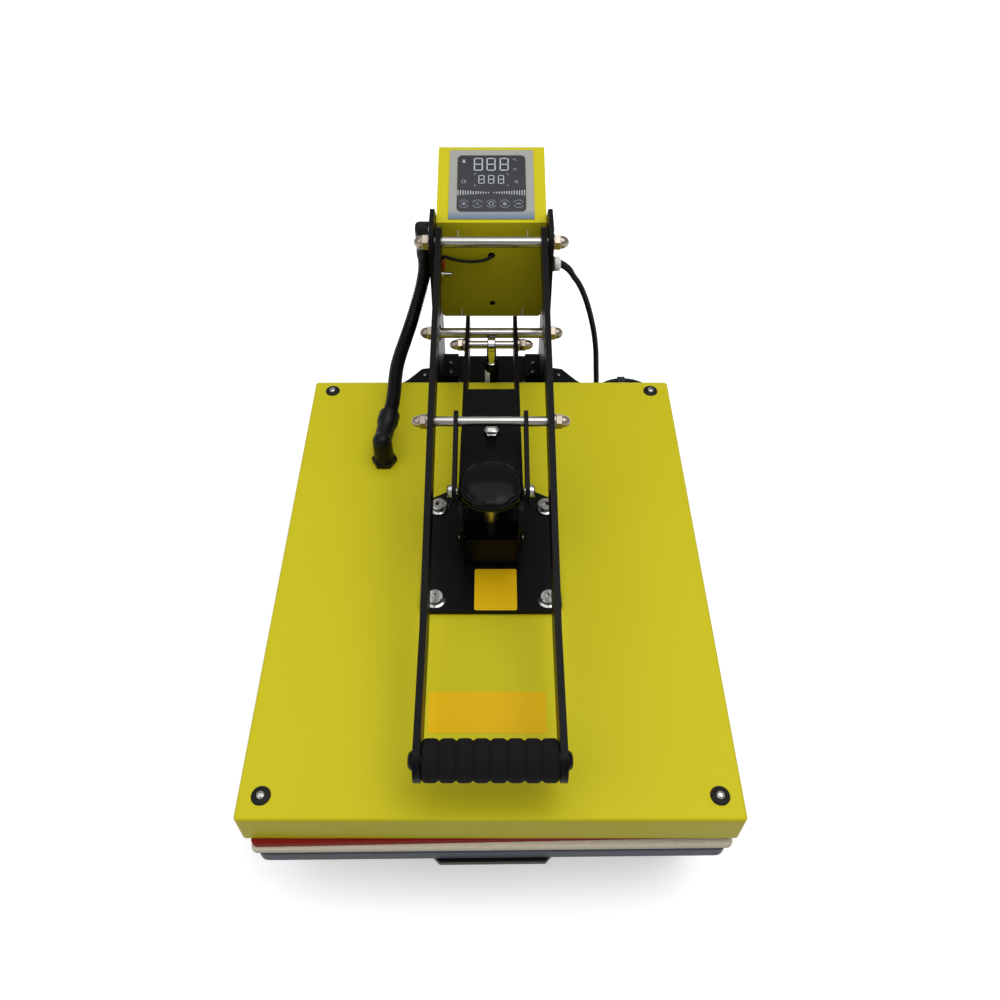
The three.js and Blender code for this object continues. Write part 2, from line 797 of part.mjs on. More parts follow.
// Pressure screw with its tapered ferrule, and the scalloped knob on it
function addKnob(bracketTop) {
  const screwTop = coverTop + knobRise - seat;
  const screwFoot = bracketTop + seat;
  const ferruleFoot = coverTop + ferruleRise;
  const screw = turned([
    [0, screwFoot], [screwRadius, screwFoot], [screwRadius, ferruleFoot],
    [ferruleFootRadius, ferruleFoot], [ferruleRadius, ferruleFoot + ferruleHeight],
    [screwRadius, ferruleFoot + ferruleHeight], [screwRadius, screwTop], [0, screwTop],
  ]);
  addNode('pressure_screw', screw, zinc).position.y = screwPlace;

  const lobe = new THREE.Shape();
  const steps = knobLobes * 6;
  for (let i = 0; i < steps; i += 1) {
    const angle = 2 * Math.PI * i / steps;
    const dip = scallopDepth * Math.max(0, Math.cos(knobLobes * angle));
    const radius = knobRadius - dip;
    const [x, y] = [radius * Math.cos(angle), radius * Math.sin(angle)];
    if (i === 0) {
      lobe.moveTo(x, y);
    } else {
      lobe.lineTo(x, y);
    }
  }
  const bottom = coverTop + knobRise;
  const rim = slab(lobe, bottom, bottom + knobRim);
  const base = bottom + knobRim / 2;
  const top = bottom + knobRim + knobDome;
  const crown = turned([
    [0, base], [knobRadius - 2 * scallopDepth, base],
    [knobRadius - 2 * scallopDepth, bottom + knobRim],
    [knobRadius * 0.8, bottom + knobRim + knobDome * 0.5],
    [knobRadius * 0.5, bottom + knobRim + knobDome * 0.88], [0, top],
  ]);
  addNode('pressure_knob', join(rim, crown), knobPlastic).position.y = screwPlace;
}

// Uprights: two plates with a round head, a sloping rear edge and an inward foot flange
function addUprights() {
  const [pivotY, pivotZ] = handlePivot;
  const foot = baseTop + seat;
  const shape = new THREE.Shape();
  shape.moveTo(uprightFront, foot);
  shape.lineTo(pivotY - uprightLobe, pivotZ);
  shape.absarc(pivotY, pivotZ, uprightLobe, Math.PI, Math.PI / 2, true);
  shape.lineTo(uprightFront + uprightTop, pivotZ + uprightLobe);
  shape.lineTo(uprightRear, coverTop + uprightShoulderRise);
  shape.lineTo(uprightRear, foot);
  const plate = sidePlate(shape, uprightInner, uprightOuter);
  const flangeStart = uprightFront + uprightFlangeStart;
  const flange = box(uprightInner - uprightFlange, uprightInner + uprightThickness / 2,
    flangeStart, flangeStart + uprightFlangeLength, foot, foot + uprightThickness);
  const holes = [handlePivot, armPivot].map(place =>
    barAlongX(rodRadius + seat, uprightInner - overrun, uprightOuter + overrun, place));
  const fittingHole = rise => barAlongX(stubRadius + seat, uprightInner - overrun,
    uprightOuter + overrun, [uprightFront + fittingInset, coverTop + rise]);
  const right = cut(join(plate, flange), ...holes);
  addNode('upright_right', cut(right, fittingHole(glandRise)), blackPaint);
  const left = cut(right, fittingHole(upperFittingRise));
  addNode('upright_left', toGeometry(toSolid(left).mirror([1, 0, 0])), blackPaint);

  const reach = uprightOuter + pivotRodOverhang;
  addNode('handle_pivot_rod', barAlongX(rodRadius, -reach, reach, handlePivot), zinc);
  addNode('arm_pivot_rod', barAlongX(rodRadius, -reach, reach, armPivot), zinc);
}

// Toggle arm: two side plates, a cap for the pressure screw, a web and the strut pin
function addArm() {
  const bar = sidePlate(bentBar([armPivot, armNose], armHalfHeight), armInner, armOuter);
  const legFoot = [screwPlace, bracketPin[1] - legFootDrop + pressureTravel / 2];
  const leg = sidePlate(bentBar([armNose, legFoot], legHalfWidth), armInner, armOuter);
  const lug = barAlongX(lugRadius, armInner, armOuter, linkPin);
  const hole = (place, radius) =>
    barAlongX(radius, armInner - overrun, armOuter + overrun, place);
  const slotRadius = bracketPinRadius + seat;
  const slotTop = [bracketPin[0], bracketPin[1] + pressureTravel];
  const slot = sidePlate(bentBar([bracketPin, slotTop], slotRadius),
    armInner - overrun, armOuter + overrun);
  const plate = cut(join(bar, leg, lug), slot, hole(armPivot, rodRadius + seat),
    hole(strutPin, pinRadius + seat), hole(linkPin, linkPinRadius + seat));
  addPair('arm_plate', plate, blackPaint);

  // The cap and web lie along the arm's slope, measured from its nose
  const slope = Math.atan2(armPivot[1] - armNose[1], armPivot[0] - armNose[0]);
  const along = new THREE.Vector2(Math.cos(slope), Math.sin(slope));
  const upward = new THREE.Vector2(-along.y, along.x);
  const point = (s, t) => [
    armNose[0] + s * along.x + t * upward.x,
    armNose[1] + s * along.y + t * upward.y,
  ];
  const strip = (s0, s1, t0, t1) =>
    outline([point(s0, t0), point(s1, t0), point(s1, t1), point(s0, t1)]);
  const capBottom = armHalfHeight + seat;
  const narrow = armInner - seat;
  const wideStart = linkPinPlace + lugRadius + capThickness - armNose[0];
  const cap = sidePlate(strip(wideStart, capLength, capBottom, capBottom + capThickness),
    -armOuter, armOuter);
  const tongue = sidePlate(strip(-tongueLength, wideStart + capThickness, capBottom,
    capBottom + capThickness), -narrow, narrow);
  const web = sidePlate(strip(capLength - webLap, webReachLength, capBottom - webThickness,
    capBottom + capThickness / 2), -narrow, narrow);
  const notch = sidePlate(strip(capLength - capNotch, capLength + overrun,
    capBottom + capThickness / 2, capBottom + capThickness + overrun),
  -capNotchWidth / 2, capNotchWidth / 2);
  const screwHole = barAlongZ(screwRadius + 2 * seat, coverTop + bracketPinRise,
    coverTop + knobRise + overrun, 0, screwPlace);
  addNode('arm_cap', cut(join(cap, tongue, web), notch, screwHole), blackPaint);

  const reach = armOuter + strutPinOverhang;
  addNode('strut_pin', barAlongX(pinRadius, -reach, reach, strutPin), zinc);
}

// Links between the handle's cross rod and the arm, with their stub pins
function addLinks() {
  const bar = sidePlate(bentBar([linkRod, linkPin], linkHalfWidth), linkInner, linkOuter);
  const hole = (place, radius) =>
    barAlongX(radius, linkInner - overrun, linkOuter + overrun, place);
  addPair('link', cut(bar, hole(linkRod, linkRodRadius + seat),
    hole(linkPin, linkPinRadius + seat)), blackPaint);
  addPair('link_pin', barAlongX(linkPinRadius, armOuter + 2 * seat,
    linkOuter + linkPinHead, linkPin, smallSides), zinc);
}

// Handle: two cranked flat bars, the cross rod, and a foam grip on its steel tube
function addHandle() {
  const line = [handlePivot, linkRod, knee, grip];
  const bar = sidePlate(bentBar(line, handleHalfWidth), handleInner, handleOuter);
  const hole = (place, radius) =>
    barAlongX(radius, handleInner - overrun, handleOuter + overrun, place);
  addPair('handle_arm', cut(bar, hole(handlePivot, rodRadius + seat),
    hole(linkRod, linkRodRadius + seat)), blackPaint);
  const rodReach = handleOuter + linkRodOverhang;
  addNode('link_rod', barAlongX(linkRodRadius, -rodReach, rodReach, linkRod), zinc);

  const tubeReach = handleInner - seat;
  const tube = cut(barAlongX(gripTubeRadius, -tubeReach, tubeReach, grip),
    barAlongX(gripTubeRadius - gripTubeWall, -tubeReach - overrun, tubeReach + overrun, grip));
  addNode('grip_tube', tube, zinc);

  // Foam sleeve: equal ridges with a shallow groove between each two
  const foamReach = tubeReach - seat;
  const ridge = 2 * foamReach / gripRidges;
  const crestShares = [[0.12, 0.75], [0.3, 1], [0.7, 1], [0.88, 0.75]];
  const bore = gripTubeRadius + seat;
  const profile = [[bore, -foamReach], [gripRadius - gripGroove, -foamReach]];
  for (let i = 0; i < gripRidges; i += 1) {
    const start = -foamReach + i * ridge;
    for (const [placeShare, heightShare] of crestShares) {
      profile.push([gripRadius - gripGroove * (1 - heightShare), start + placeShare * ridge]);
    }
    profile.push([gripRadius - gripGroove, start + ridge]);
  }
  profile.push([bore, foamReach], [bore, -foamReach]);
  const foam = turned(profile, roundSides).rotateY(Math.PI / 2);
  addNode('handle_grip', foam, blackFoam).position.set(0, grip[0], grip[1]);
}

// Gas strut, drawn hanging down from its eye and then leaned towards its anchor
function addStrut() {
  const lean = new THREE.Group();
  lean.position.set(0, strutPin[0], strutPin[1]);
  const run = strutAnchor[0] - strutPin[0];
  const fall = strutPin[1] - strutAnchor[1];
  lean.rotation.x = Math.atan2(run, fall);
  layout.add(lean);
  const span = Math.hypot(run, fall);
  const origin = [0, 0];

  const half = strutEyeWidth / 2;
  const neckEnd = -strutEyeRadius - strutNeckLength;
  const bodyEnd = neckEnd - strutBodyLength;
  const eye = barAlongX(strutEyeRadius, -half, half, origin);
  const neck = barAlongZ(strutNeckRadius, neckEnd - overrun, 0, 0, 0, smallSides);
  const barrel = barAlongZ(strutBodyRadius, bodyEnd, neckEnd, 0, 0);
  const eyeHole = barAlongX(pinRadius + seat, -half - overrun, half + overrun, origin);
  const bore = barAlongZ(strutBoreRadius, bodyEnd - overrun, bodyEnd + strutBoreDepth, 0, 0);
  addNode('gas_strut_cylinder', cut(join(eye, neck, barrel), eyeHole, bore), blackPaint, lean);

  const anchor = [0, -span];
  const rod = barAlongZ(strutRodRadius, -span, bodyEnd + strutRodInside, 0, 0, smallSides);
  const lowerEye = barAlongX(anchorEyeRadius, -half, half, anchor);
  const lowerHole = barAlongX(anchorPinRadius + anchorPlay, -half - overrun, half + overrun,
    anchor);
  addNode('gas_strut_rod', cut(join(rod, lowerEye), lowerHole), chrome, lean);

  // Anchor bracket on the floor of the tail channel, with its clevis pin
  const floor = railBottom + tailWall + seat;
  const cheekInner = half + seat;
  const cheekOuter = cheekInner + anchorCheek;
  const [anchorY, anchorZ] = strutAnchor;
  const sole = box(-cheekOuter, cheekOuter, anchorY - anchorDepth / 2,
    anchorY + anchorDepth / 2, floor, floor + anchorBase);
  const cheekTop = anchorZ + anchorEyeRadius;
  const cheek = (x0, x1) => box(x0, x1, anchorY - anchorEyeRadius,
    anchorY + anchorEyeRadius, floor, cheekTop);
  const pin = barAlongX(anchorPinRadius, -cheekOuter, cheekOuter, strutAnchor, smallSides);
  addNode('strut_bracket', join(sole, cheek(-cheekOuter, -cheekInner),
    cheek(cheekInner, cheekOuter), pin), blackPaint);
}

// Control box: a folded shell with a sloping top, its back cover, panel, window and board
function addControlBox() {
  const half = boxWidth / 2;
  const frontTop = [boxFront, coverTop + boxRise];
  const rearTop = [boxRear, frontTop[1] + boxTopLength * Math.sin(boxTilt)];
  const bottomZ = frontTop[1] - boxFrontLength * Math.cos(boxLean);
  const frontBottom = [boxFront + boxFrontLength * Math.sin(boxLean), bottomZ];
  const shellShape = outline([frontBottom, [boxRear, bottomZ], rearTop, frontTop]);
  const wallFront = boxWall / Math.cos(boxLean);
  const wallTop = boxWall / Math.cos(boxTilt);
  const innerRun = (wallFront + wallTop * Math.tan(boxLean))
    / (1 + Math.tan(boxTilt) * Math.tan(boxLean));
  const innerBottom = bottomZ + boxWall;
  const hollowShape = outline([
    [boxFront + wallFront + (frontTop[1] - innerBottom) * Math.tan(boxLean), innerBottom],
    [boxRear + overrun, innerBottom],
    [boxRear + overrun, rearTop[1] - wallTop + overrun * Math.tan(boxTilt)],
    [boxFront + innerRun, frontTop[1] + innerRun * Math.tan(boxTilt) - wallTop],
  ]);
  const shell = sidePlate(shellShape, -half, half);
  const hollow = sidePlate(hollowShape, -half + boxWall, half - boxWall);
  const trim = sign => new THREE.BoxGeometry(
    Math.SQRT2 * boxChamfer, 3 * boxTopLength, Math.SQRT2 * boxChamfer)
    .rotateY(Math.PI / 4).translate(sign * half, boxFront, bottomZ);
  const wires = rise => [uprightFront + fittingInset, coverTop + rise];
  const leftHole = barAlongX(stubRadius + seat, -half - overrun, -half + boxWall + overrun,
    wires(upperFittingRise));
  const rightHole = barAlongX(stubRadius + seat, half - boxWall - overrun, half + overrun,
    wires(glandRise));
  addNode('control_box_shell', cut(shell, hollow, trim(-1), trim(1), leftHole, rightHole),
    yellowPaint);

  const backFace = boxRear + seat;
  const switchZ = coverTop + switchRise;
  const cutWide = switchWidth / 2 + seat;
  const cutHigh = switchHeight / 2 + seat;
  const back = frontBar(outline(
    [[-half + boxChamfer, bottomZ], [half - boxChamfer, bottomZ], [half, bottomZ + boxChamfer],
      [half, rearTop[1]], [-half, rearTop[1]], [-half, bottomZ + boxChamfer]],
    [rectangle(switchSide - cutWide, switchSide + cutWide, switchZ - cutHigh,
      switchZ + cutHigh)]), backFace, backFace + backThickness);
  addNode('control_box_back', back, yellowPaint);

  // Everything on the sloping top lies in a group that follows it
  const slope = new THREE.Group();
  slope.position.set(0, frontTop[0], frontTop[1]);
  slope.rotation.x = boxTilt;
  layout.add(slope);
  const windowShape = grow => roundedRectangle(-displayWidth / 2 - grow,
    displayWidth / 2 + grow, displaySetback - grow, displaySetback + displayLength + grow,
    displayCorner);
  const panel = outline(rectangle(-panelWidth / 2, panelWidth / 2, panelSetback,
    panelSetback + panelLength));
  panel.holes.push(windowShape(seat));
  addNode('control_panel', slab(panel, seat, seat + panelThickness), greyPanel, slope);
  addNode('display_window', slab(windowShape(0), seat, seat + panelThickness), displayBlack,
    slope);

  const boardTop = -boxWall - seat;
  const boardBottom = boardTop - boardThickness;
  const board = box(-boardWidth / 2, boardWidth / 2, boardSetback,
    boardSetback + boardLength, boardBottom, boardTop);
  const partsFront = boardSetback + (boardLength - partsLength) / 2;
  const parts = box(-partsWidth / 2, partsWidth / 2, partsFront, partsFront + partsLength,
    boardBottom - partsHeight, boardBottom + boardThickness / 2);
  addNode('control_board', join(board, parts), boardGreen, slope);

  addSwitch(backFace + backThickness, switchZ);
}

// Mains rocker switch: a frame through the back cover, and the rocker on its own axis
function addSwitch(face, z) {
  const bodyWide = switchWidth / 2;
  const bodyHigh = switchHeight / 2;
  const lipBack = face + seat;
  const lip = box(switchSide - bodyWide - switchRim, switchSide + bodyWide + switchRim,
    lipBack, lipBack + switchLip, z - bodyHigh - switchRim, z + bodyHigh + switchRim);
  const sleeve = box(switchSide - bodyWide, switchSide + bodyWide,
    face - switchFrameDepth, lipBack + switchLip / 2, z - bodyHigh, z + bodyHigh);
  const windowWide = bodyWide - switchFrameWall;
  const windowHigh = bodyHigh - switchFrameWall;
  const opening = box(switchSide - windowWide, switchSide + windowWide,
    face - switchFrameDepth - overrun, lipBack + switchLip + overrun,
    z - windowHigh, z + windowHigh);
  addNode('power_switch_frame', cut(join(lip, sleeve), opening), blackRubber);

  // Rocker drawn about its axis: an arc at the back, two shallow slopes outside
  const rocker = new THREE.Shape();
  const rise = rockerRadius * Math.tan(rockerWedge);
  rocker.moveTo(0, -rockerThickness);
  rocker.lineTo(rockerRadius * Math.cos(rockerWedge), -rockerThickness / 2);
  rocker.lineTo(rockerRadius * Math.cos(rockerWedge), rise);
  rocker.lineTo(0, 0);
  rocker.lineTo(-rockerRadius * Math.cos(rockerWedge), rise);
  rocker.lineTo(-rockerRadius * Math.cos(rockerWedge), -rockerThickness / 2);
  const reach = windowWide - seat;
  const piece = sidePlate(rocker, -reach, reach).rotateX(-Math.PI / 2 - rockerWedge);
  addNode('power_switch_rocker', piece, knobPlastic)
    .position.set(switchSide, lipBack + switchLip / 2, z);
}

// Elbow fittings at both ends of the conduit
function addFittings() {
  const upperZ = coverTop + upperFittingRise;
  const [elbowX, upperY, dropFoot] = upperFitting;
  const face = uprightFace;
  const flange = barAlongX(fittingRadius + seat, -face - upperFittingReach / 3, -face,
    [upperY, upperZ], smallSides);
  const stub = barAlongX(stubRadius, -face - overrun / 2, -face + stubLength,
    [upperY, upperZ], smallSides);
  const arm = barAlongX(stubRadius, elbowX, -face, [upperY, upperZ], smallSides);
  const bend = new THREE.SphereGeometry(fittingRadius, smallSides, smallSides / 2)
    .translate(elbowX, upperY, upperZ);
  const drop = barAlongZ(fittingRadius, dropFoot, upperZ, elbowX, upperY, smallSides);
  addNode('conduit_elbow_upper', join(flange, stub, arm, bend, drop), blackRubber);

  const baseZ = coverTop + seat;
  const nutTop = baseZ + lowerFittingNut;
  const bendZ = lowerFitting[2];
  const nut = barAlongZ(lowerFittingNutRadius, baseZ, nutTop, 0, 0, 6);
  const riser = barAlongZ(lowerFittingBody, nutTop - seat, bendZ, 0, 0, smallSides);
  const ball = new THREE.SphereGeometry(lowerFittingBody, smallSides, smallSides / 2)
    .translate(0, 0, bendZ);
  const run = barAlongY(lowerFittingBody, 0, lowerFittingRun - overrun, 0, bendZ);
  const collar = barAlongY(lowerFittingCollar, lowerFittingRun - lowerFittingCollarLength,
    lowerFittingRun, 0, bendZ);
  const lower = addNode('conduit_elbow_lower', join(nut, riser, ball, run, collar),
    blackRubber);
  lower.position.set(lowerFitting[0], lowerFitting[1], 0);
  const [aside, onward] = conduitFromLower[0];
  lower.rotation.z = -Math.atan2(aside, onward);
}

// Ribbed conduit: two rings a rib, with a bore ring every few ribs
function addConduit() {
  const curve = new THREE.CatmullRomCurve3(
    conduitRoute.map(place => new THREE.Vector3(...place)), false, 'centripetal');
  const length = curve.getLength();
  const ribs = Math.round(length / conduitPitch);
  const guide = new THREE.Vector3(1, 0, 0);
  const ring = (share, radius) => ringAt(curve.getPointAt(share), curve.getTangentAt(share),
    guide, radius, hoseSides);
  const rings = [];
  const bores = [];
  for (let i = 0; i < ribs; i += 1) {
    rings.push(ring((i + 0.2) / ribs, conduitRoot), ring((i + 0.7) / ribs, conduitRadius));
    if (i % boreEvery === 0) {
      bores.push(ring((i + 0.2) / ribs, conduitBore));
    }
  }
  rings.unshift(ring(0, conduitRoot));
  rings.push(ring(1, conduitRoot));
  bores[0] = ring(0, conduitBore);
  bores.push(ring(1, conduitBore));
  addNode('conduit', ringTube(rings, bores), blackRubber);
  console.log(`conduit: ${ribs} ribs on ${length.toFixed(1)} mm`);
}

// Mains lead: gland and boot, free stretch, coil put away behind the press, and the plug
function addMainsLead() {
  const face = uprightFace;
  const gland = turned([
    [0, face - stubLength], [stubRadius, face - stubLength], [stubRadius, face],
    [glandRadius, face], [glandRadius, face + glandFlange],
    [stubRadius - seat, face + glandFlange], [stubRadius - seat, bootStart],
    [bootRadius, bootStart + seat], [0, bootStart + seat],
  ], smallSides).rotateY(Math.PI / 2);
  const boot = Array.from({ length: bootSteps + 1 }, (_, i) => {
    const share = i / bootSteps;
    const angle = THREE.MathUtils.lerp(bootStartAngle, bootEndAngle, share);
    const centre = new THREE.Vector3(
      bootStart + bootBend * (Math.sin(angle) - Math.sin(bootStartAngle)), 0,
      bootBend * (Math.cos(angle) - Math.cos(bootStartAngle)));
    const along = new THREE.Vector3(Math.cos(angle), 0, -Math.sin(angle));
    if (i === 0) {
      centre.addScaledVector(along, -bootRadius);
    }
    return ringAt(centre, along, new THREE.Vector3(0, 1, 0),
      THREE.MathUtils.lerp(bootRadius, bootTipRadius, share), smallSides);
  });
  addNode('cable_gland', join(gland, ringTube(boot)), whitePlastic)
    .position.set(0, fittingPlace, coverTop + glandRise);

  const curve = new THREE.CatmullRomCurve3(
    cordRoute.map(place => new THREE.Vector3(...place)), false, 'centripetal');
  const section = new THREE.Shape();
  section.absarc(0, 0, cordRadius, 0, 2 * Math.PI);
  const steps = Math.round(curve.getLength() / (2 * cordRadius) / 1.4);
  const free = new THREE.ExtrudeGeometry(
    new THREE.Shape(section.getPoints(cordSides).slice(0, cordSides)),
    { steps, extrudePath: curve, bevelEnabled: false });
  addNode('mains_cord', free, blackRubber);

  const centres = coilLine();
  addNode('cord_coil', coilTube(centres), blackRubber);
  const wound = centres.slice(1).reduce((sum, point, i) =>
    sum + point.distanceTo(centres[i]), 0);
  console.log(`mains lead: ${(curve.getLength() + wound).toFixed(0)} mm, `
    + `coil gap to itself ${coilGap(centres).toFixed(2)} mm`);
  addPlug(centres[centres.length - 1]);
}

// Centre line of the coil: in on the lower layer, up in the half turn where the spiral
// reverses, and out on the upper layer
function coilLine() {
  const lowZ = cordRadius + seat;
  const steps = Math.round(coilTurns * coilSteps);
  const points = [];
  for (let i = 0; i <= steps; i += 1) {
    const turn = (i / steps - 0.5) * coilTurns;
    const radius = coilInnerRadius + coilPitch * Math.abs(turn);
    const angle = Math.PI - 2 * Math.PI * (turn + coilTurns / 2);
    const climb = THREE.MathUtils.smoothstep(turn, -0.25, 0.25);
    points.push(new THREE.Vector3(coilSide + radius * Math.cos(angle),
      coilPlace + radius * Math.sin(angle), lowZ + coilLayer * climb));
  }
  const lead = (point, reach) => point.clone().add(new THREE.Vector3(0, -reach, 0));
  return [lead(points[0], coilLeadIn), ...points, lead(points[steps], coilLeadOut)];
}

function coilTube(centres) {
  const up = new THREE.Vector3(0, 0, 1);
  const rings = centres.map((centre, i) => {
    const before = centres[Math.max(i - 1, 0)];
    const after = centres[Math.min(i + 1, centres.length - 1)];
    const along = after.clone().sub(before).normalize();
    if (i === 1 || i === centres.length - 2) {
      along.set(0, i === 1 ? 1 : -1, 0);
    }
    return ringAt(centre, along, up, cordRadius, coilSides);
  });
  return ringTube(rings);
}

// Least distance between the surfaces of turns, from points along the centre line
function coilGap(centres) {
  const line = new THREE.CatmullRomCurve3(centres, false, 'centripetal');
  const samples = line.getSpacedPoints(centres.length * 4);
  const skip = Math.ceil(3 * Math.PI * cordRadius / (line.getLength() / samples.length));
  let least = Infinity;
  for (let i = 0; i < samples.length; i += 1) {
    for (let j = i + skip; j < samples.length; j += 1) {
      least = Math.min(least, samples[i].distanceTo(samples[j]));
    }
  }
  return least - 2 * cordRadius;
}

// Moulded plug with two round pins, on the floor in line with the coil's end
function addPlug(end) {
  const y0 = end.y - seat;
  const neckEnd = y0 - plugNeckLength;
  const bodyEnd = neckEnd - plugBodyLength;
  const body = turned([
    [0, 0], [plugNeckRadius, 0], [plugNeckRadius, plugNeckLength * 0.6], [plugRadius, plugNeckLength],
    [plugRadius, plugNeckLength + plugBodyLength], [0, plugNeckLength + plugBodyLength],
  ], smallSides).rotateX(Math.PI / 2).translate(end.x, y0, end.z);
  const pin = x => barAlongY(plugPinRadius, bodyEnd - plugPinLength, bodyEnd + overrun,
    end.x + x, end.z);
  addNode('mains_plug', join(body, pin(-plugPinSpread), pin(plugPinSpread)), blackRubber);
}

addBase();
addDrawer();
addPlaten();
addKnob(addBracket());
addUprights();
addArm();
addLinks();
addHandle();
addStrut();
addControlBox();
addFittings();
addConduit();
addMainsLead();

// The origin goes under the middle of everything but the mains lead
press.updateMatrixWorld(true);
const lead = ['cable_gland', 'mains_cord', 'cord_coil', 'mains_plug'];
const reach = new THREE.Box3();
layout.traverse(node => {
  if (node.isMesh && !lead.includes(node.name)) {
    reach.expandByObject(node, true);
  }
});
const middle = (reach.min.y + reach.max.y) / 2;
layout.position.y = -middle;
console.log(`middle ${middle.toFixed(3)} mm, depth ${(reach.max.y - reach.min.y).toFixed(2)} mm`);

export default press;
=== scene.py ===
import json
from math import cos, pi, radians, sin, tan

import bmesh
import bpy
from mathutils import Matrix, Vector
from mathutils.geometry import interpolate_bezier


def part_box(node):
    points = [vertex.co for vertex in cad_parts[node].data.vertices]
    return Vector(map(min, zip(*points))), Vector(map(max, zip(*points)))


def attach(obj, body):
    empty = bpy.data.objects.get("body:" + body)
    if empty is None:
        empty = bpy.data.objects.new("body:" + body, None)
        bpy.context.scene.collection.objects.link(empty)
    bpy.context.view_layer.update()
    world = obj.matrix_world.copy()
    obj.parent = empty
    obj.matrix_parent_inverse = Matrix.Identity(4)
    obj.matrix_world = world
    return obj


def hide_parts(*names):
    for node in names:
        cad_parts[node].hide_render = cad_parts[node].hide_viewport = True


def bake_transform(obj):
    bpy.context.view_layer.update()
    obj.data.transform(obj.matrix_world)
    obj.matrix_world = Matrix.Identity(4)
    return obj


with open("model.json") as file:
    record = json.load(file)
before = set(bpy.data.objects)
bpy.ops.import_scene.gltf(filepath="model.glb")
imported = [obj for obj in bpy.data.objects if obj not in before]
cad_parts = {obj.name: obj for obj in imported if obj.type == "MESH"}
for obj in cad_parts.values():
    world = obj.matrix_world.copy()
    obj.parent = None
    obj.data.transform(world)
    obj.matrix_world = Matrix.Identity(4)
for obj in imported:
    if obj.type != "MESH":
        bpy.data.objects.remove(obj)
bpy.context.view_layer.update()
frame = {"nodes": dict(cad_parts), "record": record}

# The camera stands in front of the press and well above it, looking down at the
# platen, as the photograph does.
camera = bpy.data.objects.new("camera", bpy.data.cameras.new("camera"))
bpy.context.scene.collection.objects.link(camera)
bpy.context.scene.camera = camera
camera.location = (0.0029, -0.6351, 0.9165)
camera.rotation_euler = (radians(42.6), 0, 0)
camera.data.lens = 32.98
camera.data.sensor_width = 36
camera.data.shift_x = 0.006
camera.data.shift_y = -0.05

# Mains lead: a round black rubber lead that leaves the gland on the right upright,
# hangs to the floor and lies in a two-layer coil behind the press, with a strap
# round its turns and a moulded two-pin plug on its end.
cover_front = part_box("platen_cover")[0].y
slots_of = {part["node"]: part["material_slot"] for part in frame["record"]["subparts"]}


def at(x, y, z):
    """A place from millimetres right of the middle, behind the cover's front and up."""
    return Vector((x / 1000, cover_front + y / 1000, z / 1000))


def seen(red, green, blue):
    """A colour as a screen shows it, from 0 to 255, in the numbers a shader takes."""
    return (*(((value / 255 + 0.055) / 1.055) ** 2.4 for value in (red, green, blue)), 1)


class Grade:
    """A value that varies over a surface. Sums on it add the nodes they need."""

    def __init__(self, finish, socket):
        self.finish = finish
        self.socket = socket

    def math(self, operation, *values):
        return self.finish.add("ShaderNodeMath", {"operation": operation},
                               dict(enumerate(values)))

    def __add__(self, other):
        return self.math("ADD", self, other)

    def __mul__(self, other):
        return self.math("MULTIPLY", self, other)

    __radd__ = __add__
    __rmul__ = __mul__


class Finish:
    """One finish of the press: a shader and the nodes that vary it over a piece."""

    def __init__(self, name, color, roughness, **values):
        self.material = bpy.data.materials.new(name)
        self.material.use_nodes = True
        self.material.diffuse_color = color
        self.tree = self.material.node_tree
        self.shader = self.tree.nodes["Principled BSDF"]
        self.place = self.add("ShaderNodeTexCoord", {}, {}, "Object")
        self.set("Base Color", color)
        self.set("Roughness", roughness)
        for key, value in values.items():
            self.set(key.replace("_", " "), value)

    def add(self, kind, settings, sockets, out=0):
        node = self.tree.nodes.new(kind)
        for key, value in settings.items():
            setattr(node, key, value)
        for key, value in sockets.items():
            self.feed(node.inputs[key], value)
        return Grade(self, node.outputs[out])

    def feed(self, socket, value):
        if isinstance(value, Grade):
            self.tree.links.new(value.socket, socket)
        else:
            socket.default_value = value

    def set(self, name, value):
        self.feed(self.shader.inputs[name], value)

    def noise(self, scale, detail=2.0, stretch=(1, 1, 1)):
        place = self.add("ShaderNodeMapping", {}, {"Vector": self.place, "Scale": stretch})
        return self.add("ShaderNodeTexNoise", {}, {"Vector": place, "Scale": scale,
                                                   "Detail": detail})

    def mix(self, first, second, share):
        """A colour between two others. Inputs 6 and 7 and output 2 are the colours."""
        return self.add("ShaderNodeMix", {"data_type": "RGBA"},
                        {"Factor": share, 6: first, 7: second}, 2)

    def mottle(self, first, second, share):
        self.set("Base Color", self.mix(first, second, share))

    def relief(self, height, depth):
        self.set("Normal", self.add("ShaderNodeBump", {}, {"Height": height,
                                                           "Distance": depth}))


rubber = Finish("black_rubber", seen(15, 15, 17), 0.5, Specular_IOR_Level=0.2)
rubber.relief(rubber.noise(900), 0.00008)
rubber.set("Roughness", 0.46 + 0.16 * rubber.noise(60))
sharp_angle = radians(38)
weld_distance = 1e-6


def dress(finish, *nodes):
    """Gives CAD pieces their finish and leaves their shape as it is."""
    for node in nodes:
        materials = frame["nodes"][node].data.materials
        materials.clear()
        materials.append(finish.material)


def show(name, piece_data, finish, body, *nodes, slot=None):
    """Puts a finished piece in the scene, on its body and in place of its CAD nodes."""
    if isinstance(piece_data, bmesh.types.BMesh):
        mesh = bpy.data.meshes.new(name)
        piece_data.to_mesh(mesh)
        piece_data.free()
        mesh.polygons.foreach_set("use_smooth", [True] * len(mesh.polygons))
        mesh.set_sharp_from_angle(angle=sharp_angle)
        piece_data = mesh
    piece_data.materials.append(finish.material)
    piece = bpy.data.objects.new(name, piece_data)
    bpy.context.scene.collection.objects.link(piece)
    dress(finish, *nodes)
    if nodes:
        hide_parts(*nodes)
        slot = slot or slots_of[nodes[0]]
    if body:
        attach(piece, body)
    return piece


